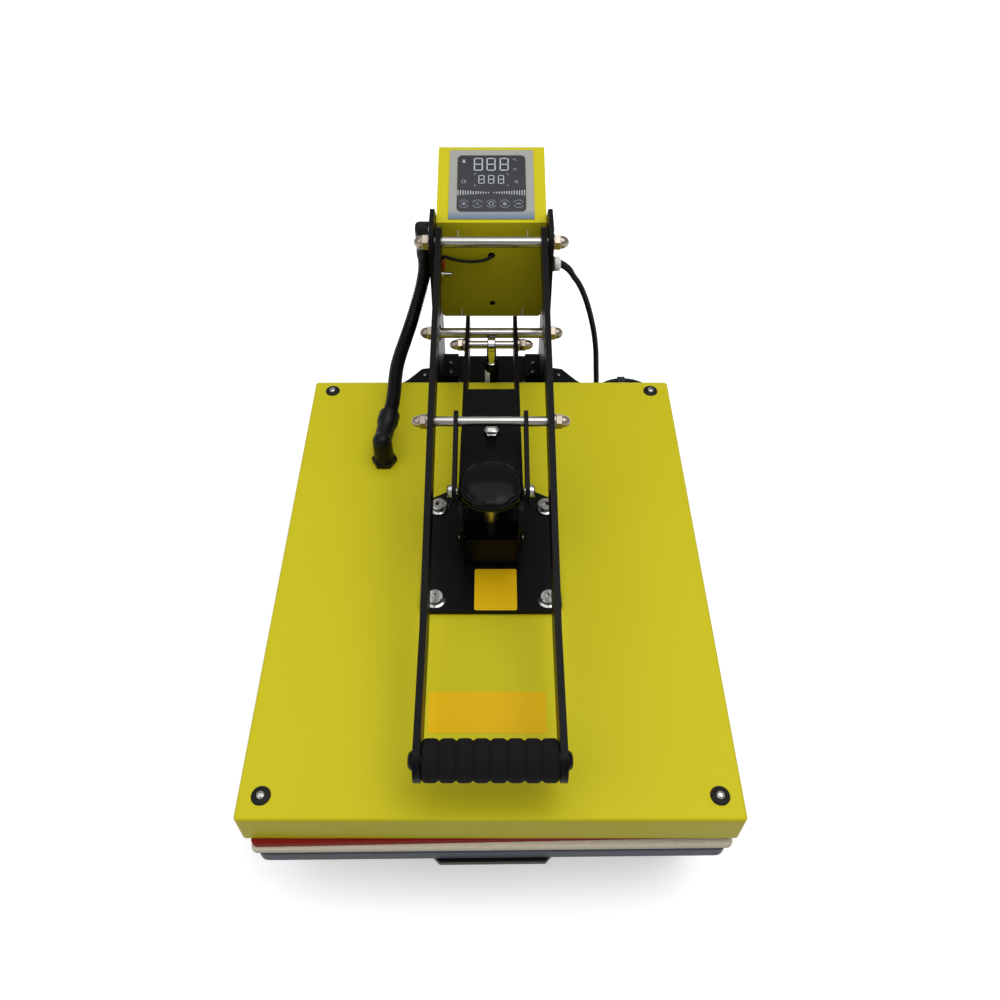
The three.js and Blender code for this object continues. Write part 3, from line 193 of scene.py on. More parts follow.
def tube(name, places, radius, finish, body, *nodes, sizes=None, slot=None):
    """A round wire or lead along places. Its radius is in metres, and sizes are the
    shares of it at each place."""
    line = bpy.data.curves.new(name, "CURVE")
    line.dimensions = "3D"
    line.bevel_depth = radius
    line.bevel_resolution = 5
    line.resolution_u = 6
    line.use_fill_caps = True
    spline = line.splines.new("BEZIER")
    spline.bezier_points.add(len(places) - 1)
    for i, place in enumerate(places):
        point = spline.bezier_points[i]
        point.co = place
        point.handle_left_type = point.handle_right_type = "AUTO"
        point.radius = sizes[i] if sizes else 1
    return show(name, line, finish, body, *nodes, slot=slot)


def stand(mesh, outline, place, along=(0, 0, 1), steps=24):
    """Adds a turned shape to a mesh. Its outline is pairs of radius and height in
    millimetres, its foot stands at a place and its axis runs along a direction."""
    line = [mesh.verts.new((radius / 1000, 0, height / 1000)) for radius, height in outline]
    edges = [mesh.edges.new(pair) for pair in zip(line, line[1:])]
    before = set(mesh.verts) - set(line)
    bmesh.ops.spin(mesh, geom=line + edges, cent=(0, 0, 0), axis=(0, 0, 1), angle=2 * pi,
                   steps=steps, use_merge=True)
    added = [vert for vert in mesh.verts if vert not in before]
    bmesh.ops.remove_doubles(mesh, verts=added, dist=weld_distance)
    added = [vert for vert in mesh.verts if vert not in before]
    faces = {face for vert in added for face in vert.link_faces}
    bmesh.ops.recalc_face_normals(mesh, faces=list(faces))
    turn = Vector((0, 0, 1)).rotation_difference(Vector(along)).to_matrix().to_4x4()
    bmesh.ops.transform(mesh, matrix=Matrix.Translation(place) @ turn, verts=added)
    return mesh


def block(mesh, size, place=(0, 0, 0)):
    """Adds a block of a size in metres round a place, and gives its corners."""
    corners = bmesh.ops.create_cube(mesh, size=1)["verts"]
    bmesh.ops.scale(mesh, vec=size, verts=corners)
    bmesh.ops.translate(mesh, vec=place, verts=corners)
    return corners


def round_off(mesh, edges, width, segments):
    """Rounds edges of a mesh over a width in metres."""
    bmesh.ops.bevel(mesh, geom=edges, offset=width, offset_type="OFFSET", segments=segments,
                    profile=0.5, affect="EDGES", material=-1)


lead_radius, lying_height = 0.0035, 3.8
lead_line = [at(x, y, z) for x, y, z in (
    (95.5, 618, 251.9), (99.8, 618, 244.6), (105, 617.7, 236.9), (113.3, 617.4, 218.9),
    (120.2, 616.8, 198.9), (126.2, 615.8, 176.9), (130.8, 614.4, 155.9),
    (134.4, 612.4, 131.9), (136.8, 609.4, 103.9), (138.1, 605.4, 86), (138.1, 602, 67.8),
    (138, 600, 50.8), (138, 599.8, 37.8), (138, 601, 26), (138, 605.4, 16.6),
    (138, 612.8, 9.2), (138, 622.2, 4.8), (138, 628.5, 3.9), (138, 632, 3.8))]
coil_x, coil_y = 186.1, 640
coil_turns, climb_turns, turn_steps = 4.5, 0.5, 18
inner_radius, turn_pitch = 31, 7.6
for i in range(round(coil_turns * turn_steps) + 1):
    turn = i / turn_steps - coil_turns / 2
    climb = min(max(turn / climb_turns + 0.5, 0), 1)
    radius = inner_radius + turn_pitch * abs(turn)
    angle = pi - 2 * pi * (turn + coil_turns / 2)
    lead_line.append(at(coil_x + radius * cos(angle), coil_y + radius * sin(angle),
                        lying_height + turn_pitch * climb * climb * (3 - 2 * climb)))
plug_run = 0.034
lead_line.append(lead_line[-1] + Vector((0, -plug_run, 0)))
lead = tube("lead", lead_line, lead_radius, rubber, "frame", "mains_cord", "cord_coil")

plug_outline = [(0, 0), (4.4, 0), (4.7, 3), (4.2, 4), (5, 7), (4.5, 8), (5.6, 11), (5.2, 12),
                (8, 14.5), (10.4, 17), (10.8, 20), (9.4, 24), (9.2, 34), (10.6, 40),
                (10.8, 45), (10.2, 46), (0, 46)]
plug_pin_outline = [(0, 0), (2.4, 0), (2.4, 15.6), (1.6, 17.8), (0, 18)]
plug_pin_spread, plug_pin_foot = 0.0055, 0.0459
plug_mesh = stand(bmesh.new(), plug_outline, lead_line[-1], (0, -1, 0), 32)
for spread in (-plug_pin_spread, plug_pin_spread):
    stand(plug_mesh, plug_pin_outline, lead_line[-1] + Vector((spread, -plug_pin_foot, 0)),
          (0, -1, 0), 20)
plug = show("plug", plug_mesh, rubber, "frame", "mains_plug")

strap = Finish("woven_strap", seen(38, 38, 42), 0.9)
strap.relief(strap.noise(700, 3, (1, 6, 1)), 0.0003)
strap_size = (0.010, 0.0262, 0.0152)
strap_bend, strap_thickness = 0.004, 0.0004
strap_reach, strap_height = 39.5, 7.75
strap_mesh = bmesh.new()
block(strap_mesh, strap_size)
bmesh.ops.delete(strap_mesh, geom=[face for face in strap_mesh.faces
                                   if abs(face.normal.x) > 0.5], context="FACES")
round_off(strap_mesh, [edge for edge in strap_mesh.edges if not edge.is_boundary],
          strap_bend, 5)
bmesh.ops.solidify(strap_mesh, geom=strap_mesh.faces, thickness=strap_thickness)
bmesh.ops.translate(strap_mesh, vec=at(coil_x, coil_y + strap_reach, strap_height),
                    verts=strap_mesh.verts)
strap_ring = show("strap", strap_mesh, strap, "frame", slot="black_rubber")

# Gland of the mains lead: a black flange nut on the upright, a white collar and a
# tapered black boot that bends down with the lead.
white = Finish("white_nylon", seen(228, 228, 224), 0.35)
white.set("Roughness", 0.3 + 0.15 * white.noise(80))
gland_y, gland_z = 618, 264.4
collar_outline = [(0, 74.8), (8.2, 74.8), (8.6, 75.4), (8.6, 79.4), (7.9, 81), (6.4, 82),
                  (5, 82.2), (0, 82.2)]
collar_mesh = stand(bmesh.new(), collar_outline, at(0, gland_y, gland_z), (1, 0, 0), 40)
collar = show("gland_collar", collar_mesh, white, "frame", "cable_gland")
nut_outline = [(0, 67.9), (9, 67.9), (9, 73.8), (8.5, 74.8), (0, 74.8)]
nut_mesh = stand(bmesh.new(), nut_outline, at(0, gland_y, gland_z), (1, 0, 0), 40)
nut = show("gland_nut", nut_mesh, rubber, "frame", slot="black_plastic")
boot_radius, boot_bend, boot_start = 0.0046, 30, 82
boot_taper_shares = [1, 1, 0.97, 0.94, 0.91, 0.88, 0.85]
boot_angles = [radians(25 + 7 * i) for i in range(6)]
boot_line = [at(79, gland_y, gland_z + 1.2)]
for angle in boot_angles:
    boot_line.append(at(boot_start + boot_bend * (sin(angle) - sin(boot_angles[0])), gland_y,
                        gland_z + boot_bend * (cos(angle) - cos(boot_angles[0]))))
boot = tube("gland_boot", boot_line, boot_radius, rubber, "frame", sizes=boot_taper_shares,
            slot="black_plastic")

# Conduit: ribbed black nylon hose round the heater's wires, from the elbow on the
# platen's cover to the elbow on the left upright, made as a platen's half and a frame's half.
nylon = Finish("black_nylon", seen(12, 12, 14), 0.32, Specular_IOR_Level=0.18)
nylon.relief(nylon.noise(600), 0.00005)
nylon.set("Roughness", 0.3 + 0.14 * nylon.noise(90))
hose_places = [at(x, y, z) for x, y, z in (
    (-112.6, 434.5, 196), (-111.6, 443, 196.2), (-110.7, 451.5, 196.5),
    (-110.2, 470, 197.2), (-110.4, 490, 198), (-109.8, 510, 198.4), (-107.3, 532, 198.3),
    (-103, 555, 200.1), (-97.2, 577.5, 207), (-89.1, 601, 224.1), (-84, 611.4, 238.6),
    (-80.6, 616.6, 252.1), (-79.4, 618, 262.6), (-79.4, 618, 268.6), (-79.4, 618, 274.2))]
stretch_points = 17
hose_line = []
for i, (place, after) in enumerate(zip(hose_places, hose_places[1:])):
    reach = after - place
    before = hose_places[i - 1] if i else place - reach
    onward = hose_places[i + 2] if i + 2 < len(hose_places) else after + reach
    start_pull = (after - before).normalized() * reach.length / 3
    end_pull = (onward - place).normalized() * reach.length / 3
    hose_line += interpolate_bezier(place, place + start_pull, after - end_pull, after,
                                    stretch_points)[0 if i == 0 else 1:]
hose_lengths = [0.0]
for place, after in zip(hose_line, hose_line[1:]):
    hose_lengths.append(hose_lengths[-1] + (after - place).length)


def hose_frame(length):
    """The hose's place and its two cross directions, at a length along it."""
    i = max(sum(1 for done in hose_lengths if done <= length) - 1, 0)
    i = min(i, len(hose_line) - 2)
    share = (length - hose_lengths[i]) / (hose_lengths[i + 1] - hose_lengths[i])
    first, last = max(i - 2, 0), min(i + 3, len(hose_line) - 1)
    along = (hose_line[last] - hose_line[first]).normalized()
    across = (Vector((1, 0, 0)) - along * along.x).normalized()
    return hose_line[i].lerp(hose_line[i + 1], share), across, along.cross(across)


rib_count, half_ribs = 77, 38
rib = hose_lengths[-1] / rib_count
groove_radius, crest_radius, path_steps = 6.9, 7.9, 24
for half_name, first, last, bodies, ends in (
        ("platen", 0, half_ribs, ("arm", "platen"), (half_ribs, 0)),
        ("frame", half_ribs, rib_count, ("frame", "arm"), (rib_count, half_ribs))):
    outline = [(0.0, first)]
    for i in range(first, last):
        outline += [(groove_radius, i), (groove_radius, i + 0.3), (crest_radius, i + 0.45),
                    (crest_radius, i + 0.85)]
    outline += [(groove_radius, last), (0.0, last)]
    hose = stand(bmesh.new(), [(radius, number * rib * 1000) for radius, number in outline],
                 (0, 0, 0), steps=24)
    for vert in hose.verts:
        place, across, third = hose_frame(vert.co.z)
        vert.co = place + across * vert.co.x + third * vert.co.y
    bmesh.ops.recalc_face_normals(hose, faces=hose.faces)
    nodes = ["conduit"] if half_name == "platen" else []
    half = show(f"hose_{half_name}_half", hose, nylon, None, *nodes, slot="black_plastic")
    stops = [hose_frame(number * rib)[0] for number in ends]
    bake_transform(half)
    path = [hose_frame(first * rib + (last - first) * rib * i / path_steps)[0]
            for i in range(path_steps + 1)]

# Elbow fittings of the conduit: moulded nylon, with a clamping nut where the hose
# goes in. The lower one stands on a hexagon on the cover.
upper_x, upper_y, upper_z = -79.4, 618, 312.6
upper_elbow = stand(bmesh.new(), [(0, 274.6), (8, 274.6), (8.8, 275.6), (8.8, 284.6),
                                  (8.2, 285.6), (8.2, 287.6), (8.8, 288.6), (8.8, upper_z),
                                  (0, upper_z)], at(upper_x, upper_y, 0), steps=40)
stand(upper_elbow, [(0, 54), (8, 54), (8, 67.6), (9.1, 67.6), (9.1, 70.6), (8.8, 71),
                    (8.8, 83), (8.4, 85), (7.2, 86.8), (5, 87.9), (0, 88.2)],
      at(0, upper_y, upper_z), (-1, 0, 0), 40)
show("upper_elbow", upper_elbow, nylon, "frame", "conduit_elbow_upper")
lower_x, lower_y, lower_z = -117.5, 392, 196
lower_elbow = stand(bmesh.new(), [(0, 165.4), (13.6, 165.4), (14, 166), (14, 170.6),
                                  (13.2, 171.4), (0, 171.4)], at(lower_x, lower_y, 0), steps=6)
stand(lower_elbow, [(0, 171), (11.4, 171.2), (11.4, 173), (10.5, 174), (10.5, lower_z),
                    (9.6, 201), (7, 205), (3.6, 206.5), (0, 206.6)],
      at(lower_x, lower_y, 0), steps=32)
stand(lower_elbow, [(0, 0), (9.6, 0), (9.8, 18), (10.5, 26.5), (10.9, 27), (11.5, 28),
                    (11.5, 41.4), (10.6, 42.4), (0, 42.4)],
      at(lower_x, lower_y, lower_z), Vector((4.9, 42.5, 0)).normalized(), 32)
show("lower_elbow", lower_elbow, nylon, "platen", "conduit_elbow_lower")

# Base: black powder-coated box rails, crossbar, tail channel and rear plate on turned
# rubber feet, with pan-head screws through the plate and the feet of the uprights.
black = Finish("black_powder_coat", seen(11, 11, 13), 0.36, Specular_IOR_Level=0.08)
black.relief(black.noise(1100, 2), 0.00006)
black.set("Roughness", 0.28 + 0.16 * black.noise(45, 3))
black.mottle(seen(9, 9, 11), seen(13, 13, 15), black.noise(12, 3))
bodies_of = {node: body for body, nodes in frame["record"]["behaviour"]["bodies"].items()
             for node in nodes}
flat_angle = radians(0.5)


def joined(node):
    """A copy of a CAD piece with its triangles joined into whole flat faces."""
    mesh = bmesh.new()
    mesh.from_mesh(frame["nodes"][node].data)
    bmesh.ops.remove_doubles(mesh, verts=mesh.verts, dist=weld_distance)
    bmesh.ops.dissolve_limit(mesh, angle_limit=flat_angle, verts=mesh.verts, edges=mesh.edges)
    return mesh


def crisp(finish, width, *nodes):
    """Shows flat CAD pieces with clean faces and edges rounded over some millimetres."""
    for node in nodes:
        piece = show(f"{node}_finished", joined(node), finish, bodies_of[node], node)
        edges = piece.modifiers.new("edges", "BEVEL")
        edges.width = width / 1000
        edges.segments = 2
        edges.limit_method = "ANGLE"
        edges.angle_limit = sharp_angle
        edges.face_strength_mode = "FSTR_ALL"
        faces = piece.modifiers.new("faces", "WEIGHTED_NORMAL")
        faces.use_face_influence = True


crisp(black, 1.5, "base_rail_left", "base_rail_right")
crisp(black, 0.6, "base_crossbar", "base_tail", "base_plate")
foot_outline = [(0, 2), (12, 2), (13, 0.2), (20.5, 0.2), (21.8, 1.2), (21.6, 4), (19.6, 27),
                (19, 28), (0, 28)]
for node in ("foot_front_left", "foot_front_right", "foot_rear_left", "foot_rear_right"):
    low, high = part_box(node)
    middle = (low + high) / 2
    foot = stand(bmesh.new(), foot_outline, (middle.x, middle.y, 0), steps=48)
    show(f"{node}_turned", foot, rubber, "frame", node)

zinc = Finish("bright_zinc", seen(172, 170, 167), 0.18, Metallic=1.0)
zinc.set("Roughness", 0.15 + 0.06 * zinc.noise(120, 3))
zinc.mottle(seen(166, 164, 160), seen(179, 177, 174), zinc.noise(30, 2))


def pan_head(mesh, place, radius, height, along=(0, 0, 1)):
    """Adds a domed screw head with a socket in it, its sizes in millimetres."""
    stand(mesh, [(0, 0), (radius, 0), (radius * 0.97, height * 0.35),
                 (radius * 0.75, height * 0.85), (radius * 0.45, height),
                 (radius * 0.42, height * 0.5), (0, height * 0.45)], place, along)


flange_top, base_top = 97.9, 92.6
base_screws = bmesh.new()
for x, y in ((-55, 626), (55, 626), (-54, 608), (54, 608)):
    pan_head(base_screws, at(x, y, flange_top), 3.0, 2.2)
for x, y in ((-42, 594), (42, 594), (-88, 609), (88, 609), (-150, 500), (150, 500),
             (-178, 500), (178, 500)):
    pan_head(base_screws, at(x, y, base_top), 2.6, 1.9)
show("base_screws", base_screws, zinc, "frame", slot="zinc")

# Drawer slides: bright folded channels on the rails, and runner bars that carry the
# tray and travel in them.
slide_steel = Finish("slide_steel", seen(186, 188, 190), 0.3, Metallic=1.0)
slide_steel.set("Roughness", 0.24 + 0.18 * slide_steel.noise(160, 3, (1, 0.06, 1)))
crisp(slide_steel, 0.3, "slide_channel_left", "slide_channel_right",
      "slide_runner_left", "slide_runner_right")

# Drawer: a blue-grey sheet tray with a cream felt pad and a red silicone pad on it,
# a little askew on its runners, and a chamfered black pull under its front edge. The
# silicone is cut a little out of square at the front.
tray_blue = Finish("tray_blue_grey", seen(76, 80, 90), 0.5, Specular_IOR_Level=0.12)
tray_blue.relief(tray_blue.noise(900), 0.00005)
tray_blue.mottle(seen(73, 77, 86), seen(80, 84, 94), tray_blue.noise(9, 3))
crisp(tray_blue, 0.5, "drawer_tray")
crisp(black, 1.0, "drawer_pull")
felt = Finish("cream_felt", seen(212, 203, 180), 0.95, Sheen_Weight=0.3)
felt.relief(felt.noise(1400, 4) + 0.6 * felt.noise(350, 3), 0.0005)
felt.mottle(seen(200, 190, 164), seen(222, 214, 193), felt.noise(240, 4))
silicone = Finish("red_silicone", seen(130, 27, 16), 0.5, Specular_IOR_Level=0.08)
silicone.relief(silicone.noise(800, 2), 0.00008)
silicone.mottle(seen(123, 24, 14), seen(137, 30, 19), silicone.noise(14, 3))
level_distance, front_strip = 1e-5, 0.02


def rise(edge):
    """How far an edge climbs from one end to the other, in metres."""
    return abs(edge.verts[0].co.z - edge.verts[1].co.z)


for node, finish, softness, skew in (("felt_pad", felt, 0.0022, 0.0),
                                     ("silicone_pad", silicone, 0.0014, 0.0095)):
    mesh = joined(node)
    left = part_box(node)[0].x
    for vert in mesh.verts:
        if vert.co.y < cover_front + front_strip:
            vert.co.y += (vert.co.x - left) * skew
    rims = [edge for edge in mesh.edges
            if edge.calc_face_angle(0) > sharp_angle and rise(edge) < level_distance]
    round_off(mesh, rims, softness, 4)
    pad = show(f"{node}_soft", mesh, finish, "drawer", node)

# Platen: a folded sheet cover in yellow powder coat over the cast heater plate and
# its fibre insulation. Four screws in black cup washers hold the cover.
yellow = Finish("yellow_powder_coat", seen(194, 184, 32), 0.36, Specular_IOR_Level=0.05)
yellow.relief(yellow.noise(420, 2), 0.00008)
yellow.set("Roughness", 0.3 + 0.14 * yellow.noise(35, 3))
yellow.mottle(seen(190, 180, 29), seen(199, 189, 36), yellow.noise(5, 2))
corner_bend, top_bend, sheet_thickness = 0.0035, 0.003, 0.002
low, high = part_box("platen_cover")
cover_mesh = bmesh.new()
block(cover_mesh, high - low, (low + high) / 2)
round_off(cover_mesh, [edge for edge in cover_mesh.edges if rise(edge) > level_distance],
          corner_bend, 5)
bmesh.ops.delete(cover_mesh, geom=[face for face in cover_mesh.faces if face.normal.z < -0.5],
                 context="FACES")
round_off(cover_mesh, [edge for edge in cover_mesh.edges
                       if all(high.z - vert.co.z < level_distance for vert in edge.verts)],
          top_bend, 4)
cover = show("cover_folded", cover_mesh, yellow, "platen", "platen_cover")
wall = cover.modifiers.new("sheet", "SOLIDIFY")
wall.thickness = sheet_thickness
wall.offset = -1
smooth = cover.modifiers.new("faces", "WEIGHTED_NORMAL")
smooth.keep_sharp = True
cast = Finish("cast_aluminium", seen(168, 170, 173), 0.45, Metallic=1.0)
cast.relief(cast.noise(500, 4), 0.0002)
crisp(cast, 1.0, "heater_plate")
fibre = Finish("insulation_fibre", seen(214, 205, 176), 0.95)
fibre.relief(fibre.noise(500, 4), 0.001)
crisp(fibre, 1.0, "insulation_sheet")

cover_top, cup_floor = 165, 1.4
cup_outline = [(0, 0), (8.3, 0), (7.9, 1.1), (6, 2), (4.6, 2.1), (4.2, cup_floor),
               (0, cup_floor)]
cups, platen_screws = bmesh.new(), bmesh.new()
for x, y in ((-190, 20), (190, 20), (-188, 503.5), (188, 503.5)):
    stand(cups, cup_outline, at(x, y, cover_top), steps=32)
    pan_head(platen_screws, at(x, y, cover_top + cup_floor), 4.0, 2.0)
show("cover_cups", cups, rubber, "platen", slot="black_plastic")

# Mounting plate: black plate that joins the bracket to the cover, with four washered
# bolts. Two plain amber stickers lie in front of the bracket and at the cover's front.
crisp(black, 0.8, "mounting_plate")
plate_top = 171.3
washer_outline = [(0, 0), (10.3, 0), (10.3, 1.3), (9.9, 1.6), (0, 1.6)]
bolt_outline = [(0, 1.5), (7.7, 1.5), (7.7, 6.2), (7, 6.8), (3.4, 6.8), (3.2, 3.6), (0, 3.6)]
for x, y in ((-53.5, 207.5), (55, 207.5), (-54.5, 321), (56.5, 321)):
    stand(platen_screws, washer_outline, at(x, y, plate_top), steps=40)
    stand(platen_screws, bolt_outline, at(x, y, plate_top), steps=32)
show("cover_fasteners", platen_screws, zinc, "platen", slot="zinc")
amber = Finish("amber_film", seen(222, 178, 10), 0.45, Specular_IOR_Level=0.1)
amber.mottle(seen(218, 173, 8), seen(226, 183, 13), amber.noise(16, 2))
film_thickness, film_corner = 0.3, 0.002
for name, x0, x1, y0, y1, bottom in (("rear_sticker", -16, 25, 195.5, 243, plate_top),
                                     ("front_sticker", -55, 49, 75, 114, cover_top)):
    film = bmesh.new()
    block(film, Vector((x1 - x0, y1 - y0, film_thickness)) / 1000,
          at((x0 + x1) / 2, (y0 + y1) / 2, bottom + film_thickness / 2))
    round_off(film, [edge for edge in film.edges if rise(edge) > level_distance],
              film_corner, 4)
    show(name, film, amber, "platen", slot="panel_overlay")

# Pressure bracket and its cross pin: folded black plate, and a bright pin with turned
# tips that runs in the slots of the arm.
crisp(black, 0.7, "pressure_bracket")
rod_chamfer = 0.6


def rod(node, radius, hidden=0):
    """Shows a turned round bar in place of a faceted one that lies across the press.
    Its hidden ends, inside acorn nuts, are left off."""
    low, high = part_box(node)
    span = (high.x - low.x) * 1000 - 2 * hidden
    place = (low.x + hidden / 1000, (low.y + high.y) / 2, (low.z + high.z) / 2)
    bar = stand(bmesh.new(), [(0, 0), (radius - rod_chamfer, 0), (radius, rod_chamfer),
                              (radius, span - rod_chamfer), (radius - rod_chamfer, span),
                              (0, span)], place, (1, 0, 0), 40)
    show(f"{node}_turned", bar, zinc, bodies_of[node], node)


rod("bracket_pin", 4)
screw_y, pin_height, pin_end = 260, 201, 30.2
pin_tips = bmesh.new()
for side in (-1, 1):
    stand(pin_tips, [(0, 0), (1.9, 0), (1.9, 0.7), (1.4, 1.2), (0, 1.2)],
          at(side * pin_end, screw_y, pin_height), (side, 0, 0))
show("bracket_pin_tips", pin_tips, zinc, bodies_of["bracket_pin"], slot="zinc")

# Pressure screw: a black steel thread that stands on the bracket, with a bright
# tapered ferrule on it, under the knob.
thread_foot, thread_top, thread_pitch, thread_turns = 211.9, 230, 2.5, 7
outline = [(0, thread_foot), (5.4, thread_foot)]
for i in range(thread_turns):
    crest = thread_foot + 0.7 + thread_pitch * i
    outline += [(5.9, crest), (5.9, crest + 0.7), (5.2, crest + 1.3), (5.2, crest + 1.9)]
outline += [(5.9, thread_top), (0, thread_top)]
thread = stand(bmesh.new(), outline, at(0, screw_y, 0), steps=32)
show("screw_thread", thread, black, "knob", slot="black_paint")
ferrule = stand(bmesh.new(), [(0, thread_top), (6, thread_top), (6.4, 230.6), (8.1, 251.8),
                              (7.8, 253), (6, 253), (6, 273.2), (0, 273.2)],
                at(0, screw_y, 0), steps=48)
silver = Finish("turned_silver", seen(182, 179, 174), 0.3, Metallic=1.0)
silver.set("Roughness", 0.26 + 0.08 * silver.noise(90))
show("screw_ferrule", ferrule, silver, "knob", "pressure_screw")

# Knob: a glossy black moulding on the pressure screw, with a domed top and eight
# shallow scallops round its rim.
gloss = Finish("glossy_black", seen(8, 8, 10), 0.16, Specular_IOR_Level=0.1)
gloss.set("Roughness", 0.13 + 0.06 * gloss.noise(30))
scallops, scallop_depth = 8, 0.0012
plain_radius, rim_radius = 0.02, 0.0296
knob = stand(bmesh.new(), [(0, 273.5), (11, 273.5), (11.5, 275.5), (25, 275.5), (27.5, 273.7),
                           (29, 274.2), (29.6, 276), (29.5, 278.4), (28.9, 280.6),
                           (27.7, 282.4), (25.8, 283.7), (23, 284.6), (19, 285.4),
                           (14, 286.2), (7, 286.8), (0, 287)],
             (0, 0, 0), steps=128)
for vert in knob.verts:
    reach = vert.co.xy.length
    if reach > plain_radius:
        angle = vert.co.xy.angle_signed(Vector((1, 0)))
        share = (reach - plain_radius) / (rim_radius - plain_radius)
        dip = max(0, cos(scallops * angle)) * scallop_depth * share
        vert.co.xy = vert.co.xy * (1 - dip / reach)
bmesh.ops.translate(knob, vec=at(0, screw_y, 0), verts=knob.verts)
show("knob", knob, gloss, "knob", "pressure_knob")

# Uprights: black plates on foot flanges, crossed by two bright pivot rods, which end
# in washers and nickel acorn nuts with a painted warm reflection of the yellow cover.
crisp(black, 0.8, "upright_left", "upright_right")
nut_hidden = 8
rod("handle_pivot_rod", 6, nut_hidden)
rod("arm_pivot_rod", 6, nut_hidden)
# The nuts are darker than the zinc, and their warm brown tint is a painted reflection of the
# yellow cover.
nickel = Finish("nickel_with_painted_warm_reflection", seen(150, 140, 128), 0.26, Metallic=1.0)
nickel.set("Roughness", 0.22 + 0.1 * nickel.noise(150, 3))
nickel.mottle(seen(142, 131, 118), seen(159, 150, 139), nickel.noise(60, 2))


def acorn(mesh, x, y, z, width, length, washer=1.5):
    """Adds a washer and an acorn nut to the end of a rod, pointing outwards. The nut's
    width and length and the washer's thickness are in millimetres."""
    place = at(x, y, z)
    along = (1, 0, 0) if x > 0 else (-1, 0, 0)
    radius = width / 2
    nut_share = 0.45
    flat = washer + length * nut_share
    dome, dome_length = radius * 0.86, length * (1 - nut_share)
    stand(mesh, [(0, 0), (radius * 1.12, 0), (radius * 1.12, washer), (0, washer)],
          place, along, 32)
    stand(mesh, [(0, washer), (radius * 0.98, washer), (radius * 1.06, washer + 0.6),
                 (radius * 1.06, flat - 0.8), (radius * 0.94, flat), (0, flat)],
          place, along, 6)
    outline = [(dome, flat - 0.2)]
    for angle in (0, 20, 40, 58, 74):
        outline.append((dome * cos(radians(angle)), flat + dome_length * sin(radians(angle))))
    outline.append((0, flat + dome_length))
    stand(mesh, outline, place, along, 32)


upright_face, upright_inside = 67.7, 62.3
handle_pivot_y, handle_pivot_z = 570, 328
arm_pivot_y, arm_pivot_z = 556, 210
spacer_outline = [(6.1, 0), (8.6, 0), (8.6, 2.4), (8.2, 2.8), (6.1, 2.8)]
upright_nuts = bmesh.new()
for side in (-1, 1):
    acorn(upright_nuts, side * upright_face, handle_pivot_y, handle_pivot_z, 17, 16.5)
    acorn(upright_nuts, side * upright_face, arm_pivot_y, arm_pivot_z, 16, 15.5)
    stand(upright_nuts, spacer_outline, at(side * upright_inside, arm_pivot_y, arm_pivot_z),
          (-side, 0, 0), 32)
show("upright_nuts", upright_nuts, nickel, "frame", slot="zinc")

# Toggle arm: two black plates, welded to a web and a cap that the pressure screw goes
# through, with the pin of the gas strut across them. The cap has a bolt, and its slot
# is drawn as a thin dark patch of painted shade.
crisp(black, 0.7, "arm_plate_left", "arm_plate_right")
dress(black, "arm_cap")
# A near-black finish for thin patches of painted shade laid over openings.
dark = Finish("painted_opening_shade", seen(6, 6, 7), 0.9, Specular_IOR_Level=0.1)
dark.relief(dark.noise(500), 0.0001)
# The cap's slot is a thin near-black patch of painted shade on the cap.
slot_shade_size = (0.0088, 0.0256, 0.0002)
cap_lean = radians(-6.27)
slot_shade = bmesh.new()
block(slot_shade, slot_shade_size)
bmesh.ops.rotate(slot_shade, cent=(0, 0, 0), matrix=Matrix.Rotation(cap_lean, 3, "X"),
                 verts=slot_shade.verts)
bmesh.ops.translate(slot_shade, vec=at(0, 335, 256.95), verts=slot_shade.verts)
show("cap_slot_painted_shade", slot_shade, dark, "arm", slot="black_paint")
rod("strut_pin", 4.5, nut_hidden)
arm_face, strut_pin_y, strut_pin_z = 30.2, 522, 221
arm_nuts = bmesh.new()
for side in (-1, 1):
    acorn(arm_nuts, side * arm_face, strut_pin_y, strut_pin_z, 13.5, 16, 2)
show("arm_nuts", arm_nuts, nickel, "arm", slot="zinc")
cap_bolt = stand(bmesh.new(), [(0, 0), (6.8, 0), (7.6, 0.6), (7.6, 4.8), (6.7, 5.4), (0, 5.4)],
                 at(0.5, 347.5, 257), (0, -0.2, 1), 6)
show("cap_bolt", cap_bolt, zinc, "arm", slot="zinc")

# Links: short black bars between the handle's cross rod and the arm, on stub pins
# with washers and flat heads.
crisp(black, 0.6, "link_left", "link_right")
rod("link_pin_left", 4)
rod("link_pin_right", 4)
link_face, link_pin_y, link_pin_z = 36.2, 265, 264.5
pin_heads = bmesh.new()
for side in (-1, 1):
    place = at(side * link_face, link_pin_y, link_pin_z)
    stand(pin_heads, [(0, 0), (7, 0), (7, 1.2), (0, 1.2)], place, (side, 0, 0), 32)
    stand(pin_heads, [(0, 1.1), (6, 1.1), (5.8, 3.6), (4.6, 4.6), (0, 4.8)], place,
          (side, 0, 0), 32)
show("link_pin_heads", pin_heads, zinc, "links", slot="zinc")

# Handle: two cranked black flat bars with a bright cross rod, and a ridged foam grip
# on a steel tube between their ends.
crisp(black, 0.9, "handle_arm_left", "handle_arm_right")
rod("link_rod", 5, nut_hidden)
low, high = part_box("grip_tube")
grip_y, grip_z = (low.y + high.y) / 2, (low.z + high.z) / 2
grip_length = (high.x - low.x) * 1000
tube_bore, tube_radius = 9.5, 11
grip_tube = stand(bmesh.new(), [(tube_bore, 0), (tube_radius, 0), (tube_radius, grip_length),
                                (tube_bore, grip_length), (tube_bore, 0)],
                  (low.x, grip_y, grip_z), (1, 0, 0), 40)
show("grip_tube_turned", grip_tube, zinc, "handle", "grip_tube")
foam = Finish("black_foam", seen(18, 18, 20), 0.9, Specular_IOR_Level=0.15)
foam.relief(foam.noise(1500, 4), 0.0004)
foam.mottle(seen(14, 14, 16), seen(23, 23, 25), foam.noise(300, 3))
sleeve_gap, ridge_count = 0.3, 8
sleeve_length = grip_length - 2 * sleeve_gap
ridge = sleeve_length / ridge_count
